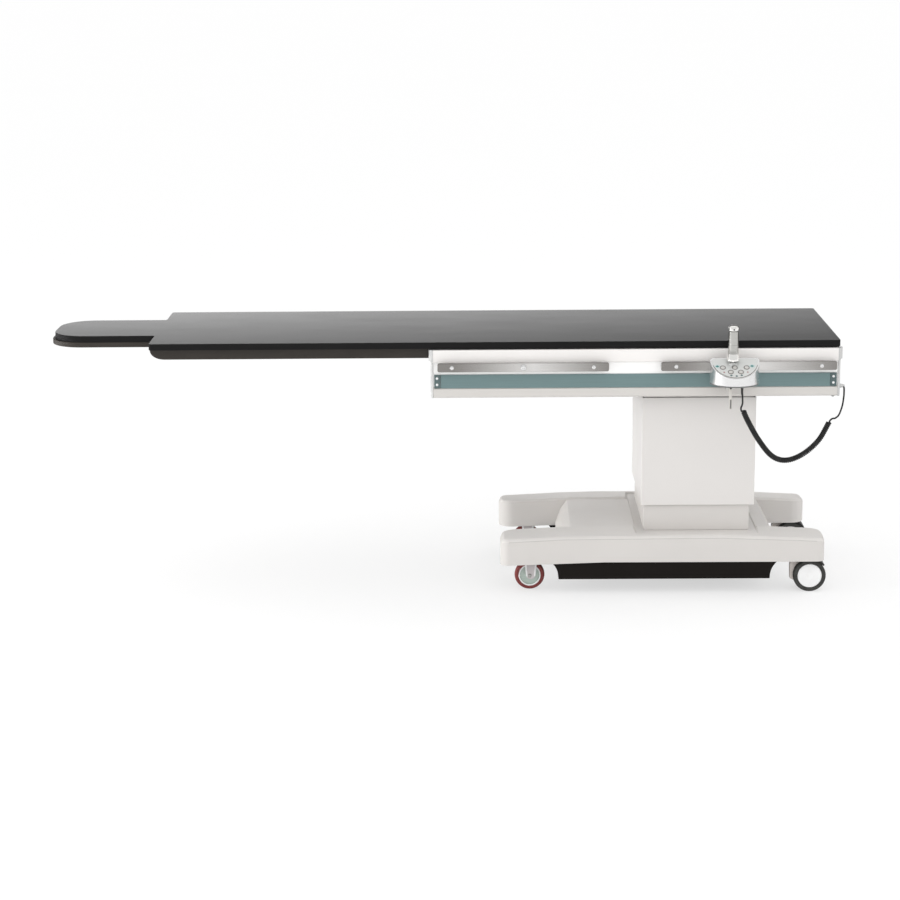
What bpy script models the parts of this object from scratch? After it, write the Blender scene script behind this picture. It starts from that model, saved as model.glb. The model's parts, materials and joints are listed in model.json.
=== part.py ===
"""Mobile imaging table with a sliding carbon top, modelled in metres, +Z up."""
import math

import bmesh
import bpy
from mathutils import Matrix, Vector

for old in list(bpy.data.objects):
    bpy.data.objects.remove(old, do_unlink=True)

# Driving dimensions in table coordinates: x from the column axis towards the foot end,
# y from the middle plane towards the rear, z from the floor.
ORIGIN = (0.7613, 0.0435, 0.0)
GAP = 0.0003

# Sliding top: a black panel on a narrower board, with a head extension.
SURFACE = 0.767
TOP_HEAD, TOP_FOOT, TOP_HALF = -1.612, 0.400, 0.275
TIP, PADDLE_HALF, PADDLE_R, PADDLE_LIP = -1.924, 0.136, 0.098, 0.008
PANEL_THICK, BOARD_THICK, PADDLE_THICK = 0.019, 0.0317, 0.0152
BOARD_STEP, BOARD_SWEEP = 0.025, 0.042
BOARD_TOP = SURFACE - PANEL_THICK - GAP
BOARD_LOW = BOARD_TOP - BOARD_THICK
BOARD_HALF = TOP_HALF - BOARD_STEP
GUIDE_Y, GUIDE_HALF, GUIDE_TALL, GUIDE_SIDE = 0.170, 0.010, 0.0125, 0.007

# Top frame: two fascias over aluminium members, running 4 mm clear of the sliding top.
RUN = 0.004
FRAME_HEAD, FRAME_FOOT, FRAME_LOW = -0.783, 0.395, 0.600
FRAME_HALF = TOP_HALF + 0.002
FRAME_HIGH = SURFACE - PANEL_THICK - RUN
SKIN = FRAME_HALF - 0.007
MEMBER_OUT = FRAME_HALF - 0.021
MEMBER_IN = MEMBER_OUT - 0.023
MEMBER_HIGH = BOARD_LOW - RUN
STRIPE_LOW, STRIPE_HIGH, STRIPE_THICK = 0.630, 0.6705, 0.0021
PIVOT_Z, PIN_R = 0.680, 0.0100
PIVOT_MEMBER = (0.0955, 0.125)
END_MEMBER, END_MEMBER_WIDE = 0.013, 0.070

# Side rails of 25 by 10 mm bar on round spacers.
RAIL_LOW, RAIL_TALL, RAIL_THICK, RAIL_R = 0.683, 0.026, 0.010, 0.008
RAIL_HIGH = RAIL_LOW + RAIL_TALL
RAIL_FACE = FRAME_HALF + 0.023
RAIL_IN, RAIL_SPLIT = 0.013, (-0.272, -0.1207)

# Lifting column and base.
COLUMN_X, COLUMN_Y, COLUMN_LOW, COLUMN_HIGH = 0.168, 0.2067, 0.257, 0.585
SHEET, HEAD_THICK = 0.003, 0.010
PLINTH_HEAD, PLINTH_FOOT, PLINTH_HALF = -0.1595, 0.1538, 0.197
PLINTH_LOW, PLINTH_HIGH = 0.1778, 0.507
GUIDE_TUBE, GUIDE_WALL, GUIDE_PLAY = 0.065, 0.0100, 0.0003
BASE_HEAD, BASE_FOOT, BASE_HALF, BEAM_WIDE = -0.589, 0.374, 0.275, 0.107
BEAM_IN = BASE_HALF - BEAM_WIDE
BEAM_CROWN, BEAM_UNDER, DECK_TOP = 0.1855, 0.1025, 0.1800
OUTER_R, INNER_R, COVER_WALL, ROOF = 0.026, 0.045, 0.006, 0.1520
CHASSIS_LOW, CHASSIS_HIGH = 0.0600, 0.0975

# Casters: single wheels in forks at the head end, twin wheels at the foot end.
WHEEL_L, TRAIL_L, CASTER_L = 0.045, 0.018, (BASE_HEAD + 0.106, BASE_HALF - 0.071)
WHEEL_R, TRAIL_R, CASTER_R = 0.0485, 0.033, (BASE_FOOT - 0.074, BASE_HALF - 0.060)
TYRE_HALF, AXLE_R = 0.011, 0.0040
TWIN_IN, TWIN_OUT, HOUSING_HALF = 0.0150, 0.0362, 0.0125

# Hand control on the front rail.
BOX_X, BOX_R, BOX_LOW, BOX_TOP, BOX_SLOPE = 0.0890, 0.071, 0.650, 0.722, 0.595
BOX_BACK = RAIL_FACE + 0.008
STICK, STICK_PIVOT = (BOX_X - 0.0059, -BOX_BACK - 0.020), 0.6955
GRIP_R, GRIP_HIGH, STEM_R = 0.0148, 0.8040, 0.0060
BUTTON_R, BUTTON_ROWS = 0.0070, (-BOX_BACK - 0.037, -BOX_BACK - 0.0534)
CORD_R, COIL_R = 0.00235, 0.00825

PAINT = {
    "white_paint": ((0.78, 0.765, 0.745), 0.42, 0.0),
    "cover_grey": ((0.66, 0.645, 0.625), 0.45, 0.0),
    "black_steel": ((0.012, 0.010, 0.008), 0.5, 0.3),
    "steel": ((0.56, 0.55, 0.53), 0.32, 1.0),
    "stainless": ((0.52, 0.50, 0.47), 0.28, 1.0),
    "silver": ((0.82, 0.83, 0.84), 0.22, 0.9),
    "aluminium": ((0.70, 0.70, 0.70), 0.40, 1.0),
    "teal": ((0.165, 0.262, 0.262), 0.40, 0.0),
    "carbon": ((0.030, 0.026, 0.024), 0.38, 0.0),
    "panel_black": ((0.055, 0.052, 0.050), 0.30, 0.0),
    "tyre_red": ((0.20, 0.030, 0.028), 0.55, 0.0),
    "hub_green": ((0.50, 0.56, 0.52), 0.40, 0.0),
    "tyre_grey": ((0.045, 0.045, 0.042), 0.60, 0.0),
    "disc_white": ((0.82, 0.82, 0.81), 0.45, 0.0),
    "housing_cream": ((0.74, 0.68, 0.64), 0.50, 0.0),
    "membrane_grey": ((0.60, 0.61, 0.60), 0.45, 0.0),
    "button_grey": ((0.50, 0.48, 0.44), 0.50, 0.0),
    "cord_black": ((0.012, 0.012, 0.012), 0.55, 0.0),
}

axes = bpy.data.objects.new("table_axes", None)
axes.location = ORIGIN
bpy.context.scene.collection.objects.link(axes)


def finish(name, data, paint=None, smooth=None):
    """Link a mesh or curve as one named piece with its own material."""
    obj = bpy.data.objects.new(name, data)
    bpy.context.scene.collection.objects.link(obj)
    obj.parent = axes
    if paint:
        colour, rough, metal = PAINT[paint]
        mat = bpy.data.materials.new(name)
        mat.use_nodes = True
        shader = mat.node_tree.nodes["Principled BSDF"]
        shader.inputs["Base Color"].default_value = (*colour, 1.0)
        shader.inputs["Roughness"].default_value = rough
        shader.inputs["Metallic"].default_value = metal
        mat.diffuse_color = (*colour, 1.0)
        data.materials.append(mat)
    if smooth:
        data.shade_smooth()
        data.set_sharp_from_angle(angle=math.radians(smooth))
    return obj


def to_mesh(name, bm):
    bmesh.ops.recalc_face_normals(bm, faces=bm.faces)
    mesh = bpy.data.meshes.new(name)
    bm.to_mesh(mesh)
    bm.free()
    return mesh


def solid(name, rings, paint=None, smooth=None, loop=False):
    """Skin a row of equal rings; the first and last are capped unless it loops."""
    bm = bmesh.new()
    made = [[bm.verts.new(p) for p in ring] for ring in rings]
    count = len(made[0])
    pairs = list(zip(made, made[1:])) + ([(made[-1], made[0])] if loop else [])
    for a, b in pairs:
        for i in range(count):
            j = (i + 1) % count
            bm.faces.new((a[i], a[j], b[j], b[i]))
    if not loop:
        bm.faces.new(list(reversed(made[0])))
        bm.faces.new(made[-1])
    return finish(name, to_mesh(name, bm), paint, smooth)


def prism(name, outline, lo, hi, axis="Z", paint=None, smooth=None):
    """Extrude a closed outline along an axis. Outline pairs are XY, XZ or YZ."""
    def put(p, t):
        return {"Z": (p[0], p[1], t), "Y": (p[0], t, p[1]), "X": (t, p[0], p[1])}[axis]
    return solid(name, [[put(p, t) for p in outline] for t in sorted((lo, hi))], paint, smooth)


def box(name, x, y, z, paint=None):
    return prism(name, [(x[0], y[0]), (x[1], y[0]), (x[1], y[1]), (x[0], y[1])], *z, paint=paint)


def combine(obj, others, how="UNION"):
    """Boolean the others into obj and keep them as hidden guides."""
    for other in others:
        other.hide_render = True
        other.display_type = "WIRE"
        mod = obj.modifiers.new(how.lower() + "_" + other.name, "BOOLEAN")
        mod.operation = how
        mod.solver = "EXACT"
        mod.object = other
    return obj


def turned(name, profile, centre, axis="Z", steps=32, paint=None, smooth=35, closed=False):
    """Turn (radius, height) pairs about an axis through centre."""
    bm = bmesh.new()
    on_axis = {}
    made = []
    for k in range(steps):
        a = 2 * math.pi * k / steps
        row = []
        for i, (r, h) in enumerate(profile):
            u, v = r * math.cos(a), r * math.sin(a)
            p = {"Z": (u, v, h), "Y": (v, h, u), "X": (h, u, v)}[axis]
            p = tuple(c + d for c, d in zip(centre, p))
            if r < 1e-7:
                if i not in on_axis:
                    on_axis[i] = bm.verts.new(p)
                row.append(on_axis[i])
            else:
                row.append(bm.verts.new(p))
        made.append(row)
    last = len(profile) if closed else len(profile) - 1
    for k in range(steps):
        a, b = made[k], made[(k + 1) % steps]
        for i in range(last):
            j = (i + 1) % len(profile)
            corners = []
            for v in (a[i], a[j], b[j], b[i]):
                if v not in corners:
                    corners.append(v)
            if len(corners) > 2:
                bm.faces.new(corners)
    return finish(name, to_mesh(name, bm), paint, smooth)


def disc(name, r, lo, hi, centre, axis="Z", steps=32, paint=None, edge=0.0):
    profile = [(0, lo), (r, lo), (r, hi), (0, hi)]
    if edge:
        profile = [(0, lo), (r - edge, lo), (r, lo + edge), (r, hi - edge), (r - edge, hi), (0, hi)]
    return turned(name, profile, centre, axis, steps, paint)


def arc(cx, cy, r, a0, a1, steps):
    out = []
    for k in range(steps + 1):
        a = math.radians(a0 + (a1 - a0) * k / steps)
        out.append((cx + r * math.cos(a), cy + r * math.sin(a)))
    return out


def mirrored(points):
    return [(x, -y) for x, y in reversed(points)]


# Base cover: two crowned beams joined by a low deck, hollow under the beams.

BASE_MID, BASE_SPAN = (BASE_HEAD + BASE_FOOT) / 2, (BASE_FOOT - BASE_HEAD) / 2
UNDER_MID = BASE_MID + 0.0575


def beam_low(x):
    """The underside drops a little towards both ends, more at the head end."""
    drop, reach = (0.0125, UNDER_MID - BASE_HEAD) if x < UNDER_MID else (0.0035, BASE_FOOT - UNDER_MID)
    return BEAM_UNDER - drop * ((x - UNDER_MID) / reach) ** 2


def beam_top(x):
    return BEAM_CROWN - 0.0135 * abs((x - BASE_MID) / BASE_SPAN) ** 2.6


def beam(name, side):
    """Crowned beam with rounded plan corners and a top that falls outwards, lofted along x."""
    cut, shoulder, fall, ease = 0.011, 0.008, 0.004, 0.006
    rise = 0.0015
    ends = (0.0, 0.002, 0.006, 0.012, 0.019, OUTER_R, 0.034, INNER_R)
    middle = (0.10, 0.20, 0.32, 0.44, 0.56, 0.68, 0.80, 0.90)
    stations = [(BASE_HEAD + d, d) for d in ends]
    stations += [(BASE_HEAD + 2 * BASE_SPAN * f, INNER_R) for f in middle]
    stations += [(BASE_FOOT - d, d) for d in reversed(ends)]

    def inset(d, r):
        return 0.0 if d >= r else r - math.sqrt(r * r - (r - d) ** 2)
    rings = []
    for x, d in stations:
        y_out = BASE_HALF - inset(d, OUTER_R)
        y_in = BEAM_IN + inset(d, INNER_R)
        top = beam_top(x) - cut * (1 - min(d, cut) / cut) ** 2
        ring = [(y_in, beam_low(x)), (y_out, beam_low(x)), (y_out, top - cut), (y_out - shoulder, top - fall),
                (y_in + ease, top + rise), (y_in, top + rise - ease)]
        rings.append([(x, side * y, z) for y, z in ring])
    return solid(name, rings, "cover_grey" if name == "base_cover" else None, 25)


def deck_outline():
    """Side view of the deck: a flat top with a long slope to the head and a short one to the foot."""
    head, foot, low = -0.412, 0.246, 0.1030
    return [(head, low), (head + 0.016, 0.150), (head + 0.036, DECK_TOP - 0.003), (head + 0.052, DECK_TOP),
            (foot - 0.041, DECK_TOP), (foot - 0.027, DECK_TOP - 0.003), (foot - 0.010, 0.150), (foot, low)]


def pocket(name, side):
    """Hollow of a beam, one wall inside its rounded outline."""
    inner, outer = INNER_R - COVER_WALL, OUTER_R - COVER_WALL
    y_in, y_out = BEAM_IN + INNER_R, BASE_HALF - OUTER_R
    plan = (arc(BASE_HEAD + INNER_R, y_in, inner, 180, 270, 5) + arc(BASE_FOOT - INNER_R, y_in, inner, 270, 360, 5)
            + arc(BASE_FOOT - OUTER_R, y_out, outer, 0, 90, 4) + arc(BASE_HEAD + OUTER_R, y_out, outer, 90, 180, 4))
    return prism(name, plan if side > 0 else mirrored(plan), CHASSIS_LOW, ROOF)


cover = beam("base_cover", -1)
deck_half = BEAM_IN + 0.016
combine(cover, [beam("beam_rear", 1), prism("deck", deck_outline(), -deck_half, deck_half, "Y")])
groove_head, groove_foot, groove_half = PLINTH_HEAD - 0.0225, PLINTH_FOOT + 0.0222, PLINTH_HALF + 0.0455
recess = solid("recess", [[(groove_head - g, -groove_half - g, z), (groove_foot + g, -groove_half - g, z),
                           (groove_foot + g, groove_half + g, z), (groove_head - g, groove_half + g, z)]
                          for g, z in ((0.0, PLINTH_LOW - GAP), (0.028, PLINTH_LOW + 0.0277))])
well = box("well", (PLINTH_HEAD + 0.0245, PLINTH_FOOT - 0.0238), (-0.145, 0.145), (CHASSIS_LOW, 0.25))
combine(cover, [recess, well, pocket("pocket_front", -1), pocket("pocket_rear", 1)], "DIFFERENCE")

# Chassis: steel rails in the hollow beams, joined across, with black side skirts.

SKIRT_LOW, SKIRT_HIGH, SKIRT_R = 0.0445, 0.1010, 0.062
SWEEP_HEAD, SWEEP_FOOT = CASTER_L[0] + 0.005, CASTER_R[0] - 0.025


def skirt(name, side):
    """Side skirt with concave ends that clear the swinging wheels."""
    def end(cx, turn):
        low = SKIRT_LOW + 0.0055
        heights = [SKIRT_HIGH + (low - SKIRT_HIGH) * k / 6 for k in range(7)]
        curve = [(cx + turn * math.sqrt(SKIRT_R ** 2 - (z - low) ** 2), z) for z in heights]
        return curve + [(cx + turn * SKIRT_R, SKIRT_LOW)]
    outline = end(SWEEP_HEAD, 1) + list(reversed(end(SWEEP_FOOT, -1)))
    return prism(name, outline, side * (BEAM_IN + 0.017), side * (BASE_HALF - 0.013), "Y",
                 "black_steel" if name == "chassis" else None)


def chassis_bars(side, tag):
    rail_y = sorted((side * (BEAM_IN + 0.016), side * (BASE_HALF - 0.029)))
    web_y = sorted((side * (BEAM_IN + 0.022), side * (BASE_HALF - 0.035)))
    return [box("rail_" + tag, (BASE_HEAD + 0.033, BASE_FOOT - 0.034), rail_y, (0.1040, ROOF - GAP)),
            box("web_" + tag, (-0.405, 0.200), web_y, (0.050, 0.120))]


chassis = skirt("chassis", -1)
middle_half = BEAM_IN + 0.019
combine(chassis, [skirt("skirt_rear", 1)] + chassis_bars(-1, "front") + chassis_bars(1, "rear")
        + [box("middle", (-0.360, 0.200), (-middle_half, middle_half), (CHASSIS_LOW, CHASSIS_HIGH))])


# Casters.

def fork_caster(tag, side):
    """Single wheel in a fork that trails towards the head end."""
    sx, sy = CASTER_L[0], side * CASTER_L[1]
    wx, r = sx - TRAIL_L, WHEEL_L
    plate = disc("caster_fork_" + tag, 0.0255, 0.0975, 0.1040 - GAP, (sx, sy, 0), steps=28, paint="steel")
    crown = prism("crown_" + tag, arc(sx, sy, 0.0195, -90, 90, 10) + arc(wx + 0.008, sy, 0.0195, 90, 270, 10),
                  0.0915, 0.0982)
    legs = []
    for k, s in enumerate((-1, 1)):
        outline = [(sx + 0.010, 0.0950), (wx - 0.006, 0.0950)] + arc(wx, r, 0.0085, 180, 360, 8)
        legs.append(prism("leg_%s_%d" % (tag, k), outline, sy + s * 0.0150, sy + s * 0.0178, "Y"))
    pin = disc("axle_" + tag, AXLE_R, -0.0212, 0.0212, (wx, sy, r), "Y", 16)
    combine(plate, [crown] + legs + [pin])
    bore, rim, rim_in = AXLE_R + GAP, r - 0.0120, r - 0.0150
    web = [(bore, 0.0140), (0.0120, 0.0140), (0.0135, 0.0085), (rim_in - 0.0015, 0.0075), (rim_in, TYRE_HALF),
           (rim, TYRE_HALF)]
    turned("caster_hub_" + tag, [(q, -h) for q, h in web] + list(reversed(web)), (wx, sy, r), "Y", 24,
           "hub_green", 35, True)
    seat = rim + GAP
    turned("caster_tyre_" + tag, [(seat, -TYRE_HALF), (r - 0.0030, -0.0115), (r - 0.0010, -0.0085), (r, 0.0),
                                  (r - 0.0010, 0.0085), (r - 0.0030, 0.0115), (seat, TYRE_HALF)],
           (wx, sy, r), "Y", 30, "tyre_red", 50, True)


def twin_caster(tag, side):
    """Housing between two wheels on one axle; the wheels trail towards the foot end."""
    sx, sy = CASTER_R[0], side * CASTER_R[1]
    wx, r = sx + TRAIL_R, WHEEL_R
    bore, rim = 0.0063, r - 0.0123
    outline = ([(sx - 0.020, 0.0915), (sx - 0.023, 0.0800), (sx - 0.022, 0.0340), (sx - 0.010, 0.0290)]
               + arc(wx - 0.004, r, 0.026, 230, 360, 8) + [(wx + 0.020, 0.0700), (sx + 0.040, 0.0885)])
    body = prism("caster_housing_" + tag, outline, sy - HOUSING_HALF, sy + HOUSING_HALF, "Y", "housing_cream")
    combine(body, [disc("stem_" + tag, 0.0120, 0.0850, 0.1040 - GAP, (sx, sy, 0), steps=24)])
    combine(body, [disc("bore_" + tag, bore, -0.03, 0.03, (wx, sy, r), "Y", 20)], "DIFFERENCE")
    half = [(bore - GAP, 0.0), (bore - GAP, 0.0130), (0.0100, TWIN_IN), (rim, TWIN_IN), (rim, TWIN_OUT - 0.0012),
            (rim - 0.0017, TWIN_OUT + 0.0006), (0.0, TWIN_OUT + 0.0010)]
    turned("caster_disc_" + tag, [(q, -h) for q, h in reversed(half)] + half[1:], (wx, sy, r), "Y", 28,
           "disc_white", 30)
    for part, s in (("near", -1), ("far", 1)):
        seat, shoulder = rim + GAP, r - 0.0007
        profile = [(seat, TWIN_IN), (r - 0.0035, TWIN_IN), (shoulder, TWIN_IN + 0.003),
                   (r, (TWIN_IN + TWIN_OUT) / 2), (shoulder, TWIN_OUT - 0.003), (r - 0.0035, TWIN_OUT),
                   (seat, TWIN_OUT)]
        turned("caster_tyre_%s_%s" % (tag, part), [(q, s * h) for q, h in profile], (wx, sy, r), "Y", 30,
               "tyre_grey", 50, True)


for place, side in (("front", -1), ("rear", 1)):
    fork_caster("head_" + place, side)
    twin_caster("foot_" + place, side)


# Column: two telescoping covers round two guide tubes, and a head plate with pivot ears.

def tube(name, x, y, z, wall, paint):
    """Square tube, open at both ends."""
    rings = []
    for g, h in ((0, z[0]), (0, z[1]), (wall, z[1]), (wall, z[0])):
        rings.append([(x[0] + g, y[0] + g, h), (x[1] - g, y[0] + g, h), (x[1] - g, y[1] - g, h),
                      (x[0] + g, y[1] - g, h)])
    return solid(name, rings, paint, loop=True)


def square(half):
    return (-half, half), (-half, half)


tube("column_lower_cover", (PLINTH_HEAD, PLINTH_FOOT), (-PLINTH_HALF, PLINTH_HALF), (PLINTH_LOW, PLINTH_HIGH),
     SHEET, "cover_grey")
tube("column_upper_cover", (-COLUMN_X, COLUMN_X), (-COLUMN_Y, COLUMN_Y), (COLUMN_LOW, COLUMN_HIGH), SHEET,
     "white_paint")
head_low, inner_tube = COLUMN_HIGH - HEAD_THICK, GUIDE_TUBE - GUIDE_WALL - GUIDE_PLAY
tube("guide_column_outer", *square(GUIDE_TUBE), (CHASSIS_HIGH + GAP, PLINTH_HIGH - 0.017), GUIDE_WALL, "steel")
tube("guide_column_inner", *square(inner_tube), (0.215, head_low - GAP), 0.0090, "aluminium")
head_x, head_y = COLUMN_X - SHEET - GAP, COLUMN_Y - SHEET - GAP
head = box("column_head", (-head_x, head_x), (-head_y, head_y), (head_low, COLUMN_HIGH), "black_steel")
EAR_IN, EAR_OUT = 0.0300, 0.0460
ears = [prism("ear_%d" % k, [(-0.026, COLUMN_HIGH - 0.005), (0.026, COLUMN_HIGH - 0.005)]
              + arc(0, PIVOT_Z, 0.0235, 0, 180, 12), s * EAR_IN, s * EAR_OUT, "Y") for k, s in enumerate((-1, 1))]
combine(head, ears)
combine(head, [disc("ear_bore", PIN_R + GAP, -0.06, 0.06, (0, 0, PIVOT_Z), "Y", 24)], "DIFFERENCE")

saddle_half = EAR_IN - GAP
saddle = box("tilt_saddle", (-0.0920, 0.0920), (-saddle_half, saddle_half), (PIVOT_Z - 0.018, PIVOT_Z + 0.018),
             "steel")
combine(saddle, [disc("roll_pin", PIN_R, -PIVOT_MEMBER[1], PIVOT_MEMBER[1], (0, 0, PIVOT_Z), "X", 24)])
combine(saddle, [disc("pitch_bore", PIN_R + GAP, -0.06, 0.06, (0, 0, PIVOT_Z), "Y", 24)], "DIFFERENCE")
disc("tilt_pin", PIN_R, -EAR_OUT - 0.002, EAR_OUT + 0.002, (0, 0, PIVOT_Z), "Y", 24, "steel", 0.001)

# Top frame: fascias, side members, cross members with guide shoes, end caps and rails.

for tag, s in (("front", -1), ("rear", 1)):
    box("side_member_" + tag, (FRAME_HEAD + 0.008, FRAME_FOOT - 0.008), sorted((s * MEMBER_IN, s * MEMBER_OUT)),
        (FRAME_LOW + 0.015, MEMBER_HIGH), "aluminium")
    inner, belly, lip = MEMBER_OUT + GAP, SKIN + 0.0027, FRAME_HALF
    skin = [(inner, FRAME_LOW), (SKIN - 0.006, FRAME_LOW), (SKIN, FRAME_LOW + 0.0025), (belly, FRAME_LOW + 0.007),
            (belly, STRIPE_LOW - 0.0025), (SKIN, STRIPE_LOW - 0.001), (SKIN, FRAME_HIGH - 0.033),
            (SKIN + 0.0015, FRAME_HIGH - 0.029), (lip - 0.002, FRAME_HIGH - 0.025), (lip, FRAME_HIGH - 0.020),
            (lip, FRAME_HIGH - 0.004), (lip - 0.002, FRAME_HIGH - 0.0008), (lip - 0.005, FRAME_HIGH),
            (inner, FRAME_HIGH)]
    prism("fascia_" + tag, [(s * u, z) for u, z in skin], FRAME_HEAD, FRAME_FOOT, "X", "white_paint", 30)
    stripe_in = SKIN + GAP
    box("stripe_" + tag, (FRAME_HEAD + 0.003, FRAME_FOOT - 0.003),
        sorted((s * stripe_in, s * (stripe_in + STRIPE_THICK))), (STRIPE_LOW, STRIPE_HIGH), "teal")


def cross(name, x, z):
    return box(name, x, (-MEMBER_IN + GAP, MEMBER_IN - GAP), z, "aluminium")


for tag, s in (("head", -1), ("foot", 1)):
    x = sorted((s * PIVOT_MEMBER[0], s * PIVOT_MEMBER[1]))
    bar = cross("pivot_member_" + tag, x, (PIVOT_Z - 0.004, MEMBER_HIGH))
    combine(bar, [box("lug_" + tag, x, (-0.030, 0.030), (PIVOT_Z - 0.028, PIVOT_Z + 0.020))])
    bore = sorted((s * 0.05, s * (PIVOT_MEMBER[1] + 0.0002)))
    combine(bar, [disc("lug_bore_" + tag, PIN_R + GAP, *bore, (0, 0, PIVOT_Z), "X", 24)], "DIFFERENCE")

guide_high = BOARD_LOW + 0.0205
guide_low = guide_high - GUIDE_TALL - GAP
for tag, s, end in (("head", -1, FRAME_HEAD + END_MEMBER), ("foot", 1, FRAME_FOOT - 0.025)):
    x = sorted((end, end - s * END_MEMBER_WIDE))
    bar = cross("end_member_" + tag, x, (0.640, BOARD_LOW - 0.016))
    shoes, slots = [], []
    for k, t in enumerate((-1, 1)):
        y = sorted((t * (GUIDE_Y - GUIDE_HALF - 0.006), t * (GUIDE_Y + GUIDE_HALF + 0.006)))
        shoes.append(box("shoe_%s_%d" % (tag, k), x, y, (0.690, guide_high - 0.003)))
        y = sorted((t * (GUIDE_Y - GUIDE_HALF - GAP), t * (GUIDE_Y + GUIDE_HALF + GAP)))
        slots.append(box("slot_%s_%d" % (tag, k), (x[0] - 0.01, x[1] + 0.01), y, (guide_low - GAP, 0.75)))
    combine(bar, shoes)
    combine(bar, slots, "DIFFERENCE")


def end_cap(name, x, s):
    """Moulded cap: a low middle under the sliding board and two raised, rounded corners."""
    def plan(half, reach, r):
        turn = [math.radians(a) for a in (0, 22.5, 45, 67.5, 90)]
        out = [(x, -half)] + [(x + s * (reach - r + r * math.sin(a)), -(half - r + r * math.cos(a))) for a in turn]
        return out + mirrored(out)
    low, high = plan(SKIN + 0.0027, 0.0072, 0.0068), plan(FRAME_HALF, 0.0125, 0.0120)
    cap = prism(name, low, FRAME_LOW + 0.0005, MEMBER_HIGH, "Z", "white_paint", 30)
    shoulder = [[(px, py, z) for px, py in ring] for ring, z in
                ((low, MEMBER_HIGH - 0.006), (high, MEMBER_HIGH + 0.007), (high, MEMBER_HIGH + 0.018))]
    combine(cap, [prism(name + "_upper", high, MEMBER_HIGH - 0.0005, FRAME_HIGH),
                  solid(name + "_shoulder", shoulder)])
    way = BOARD_HALF + 0.0045
    combine(cap, [box(name + "_way", (x - 0.05, x + 0.05), (-way, way), (MEMBER_HIGH + 0.0005, 0.80))], "DIFFERENCE")


end_cap("end_cap_head", FRAME_HEAD - GAP, -1)
end_cap("end_cap_foot", FRAME_FOOT + GAP, 1)
SOCKET = (FRAME_FOOT + 0.0075, -FRAME_HALF + 0.027, FRAME_LOW + 0.0265)
disc("cord_socket", 0.0068, GAP, 0.0065, SOCKET, "X", 20, "black_steel", 0.0008)


def rail(name, x, s, posts):
    """Flat bar on round spacers that meet the fascia."""
    bar = box(name, x, sorted((s * (RAIL_FACE - RAIL_THICK), s * RAIL_FACE)), (RAIL_LOW, RAIL_HIGH), "stainless")
    reach = sorted((s * (RAIL_FACE - 0.008), s * (SKIN + GAP)))
    middle = (RAIL_LOW + RAIL_HIGH) / 2
    combine(bar, [disc("%s_post%d" % (name, k), RAIL_R, *reach, (px, 0, middle), "Y", 16)
                  for k, px in enumerate(posts)])


RAIL_HEAD, RAIL_FOOT = FRAME_HEAD + RAIL_IN, FRAME_FOOT - 0.007
post_head, post_foot = RAIL_HEAD + 0.0418, RAIL_FOOT - 0.0443
rail("accessory_rail_front_head", (RAIL_HEAD, RAIL_SPLIT[0]), -1, (post_head, -0.5202, RAIL_SPLIT[0] - 0.0444))
rail("accessory_rail_front_foot", (RAIL_SPLIT[1], RAIL_FOOT), -1, (RAIL_SPLIT[1] + 0.0435, 0.1500, post_foot))
rail("accessory_rail_rear", (RAIL_HEAD, RAIL_FOOT), 1, (post_head, -0.3164, 0.0600, post_foot))


# Sliding top.

def top_outline():
    """Plan of the panel: rounded head extension, square shoulders, wide part."""
    corner, step = 0.008, 0.006
    near = arc(TIP + PADDLE_R, -PADDLE_HALF + PADDLE_R, PADDLE_R, 180, 270, 10)
    near += [(TOP_HEAD - step, -PADDLE_HALF), (TOP_HEAD - 0.002, -PADDLE_HALF - 0.002),
             (TOP_HEAD, -PADDLE_HALF - step)]
    near += arc(TOP_HEAD + corner, -TOP_HALF + corner, corner, 180, 270, 3)
    near += arc(TOP_FOOT - step, -TOP_HALF + step, step, 270, 360, 3)
    return near + mirrored(near)


prism("tabletop_panel", top_outline(), BOARD_TOP + GAP, SURFACE, "Z", "panel_black", 30)
sweep_tall = BOARD_THICK - 0.0057
side_shape = [(TOP_HEAD, BOARD_TOP)]
for k in range(9):
    a = math.radians(90 * k / 8)
    side_shape.append((TOP_HEAD + BOARD_SWEEP - 0.0415 * math.cos(a), BOARD_LOW + sweep_tall * (1 - math.sin(a))))
side_shape += [(TOP_FOOT - 0.004, BOARD_LOW), (TOP_FOOT, BOARD_LOW + 0.004), (TOP_FOOT, BOARD_TOP)]
board = prism("tabletop_board", side_shape, -BOARD_HALF, BOARD_HALF, "Y", "carbon", 30)
lip_r = PADDLE_R + 0.002
nose = (arc(TIP - PADDLE_LIP + lip_r, -PADDLE_HALF + lip_r, lip_r, 180, 270, 10)
        + [(TOP_HEAD + 0.027, -PADDLE_HALF)])
combine(board, [prism("paddle_board", nose + mirrored(nose), BOARD_TOP - PADDLE_THICK, BOARD_TOP)])
guide_head, guide_foot = TOP_HEAD + 0.197, TOP_FOOT - 0.015
grooves = []
for tag, s in (("front", -1), ("rear", 1)):
    half = GUIDE_HALF + GUIDE_SIDE
    y = sorted((s * (GUIDE_Y - half), s * (GUIDE_Y + half)))
    grooves.append(box("groove_" + tag, (guide_head - 0.005, guide_foot + 0.005), y, (BOARD_LOW - 0.016, guide_high)))
    y = sorted((s * (GUIDE_Y - GUIDE_HALF), s * (GUIDE_Y + GUIDE_HALF)))
    box("guide_rail_" + tag, (guide_head, guide_foot), y, (guide_low, guide_high - GAP), "steel")
combine(board, grooves, "DIFFERENCE")


# Hand control: a half-round box with a slanted membrane face, five buttons and a joystick.

def face_z(y):
    """Height of the slanted face at depth y."""
    return BOX_TOP + (y + BOX_BACK) * BOX_SLOPE


def d_plan(r, back):
    side = arc(BOX_X, -BOX_BACK - 0.008, r, 0, -180, 28)
    return [(BOX_X + r, back)] + side + [(BOX_X - r, back)]


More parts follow.
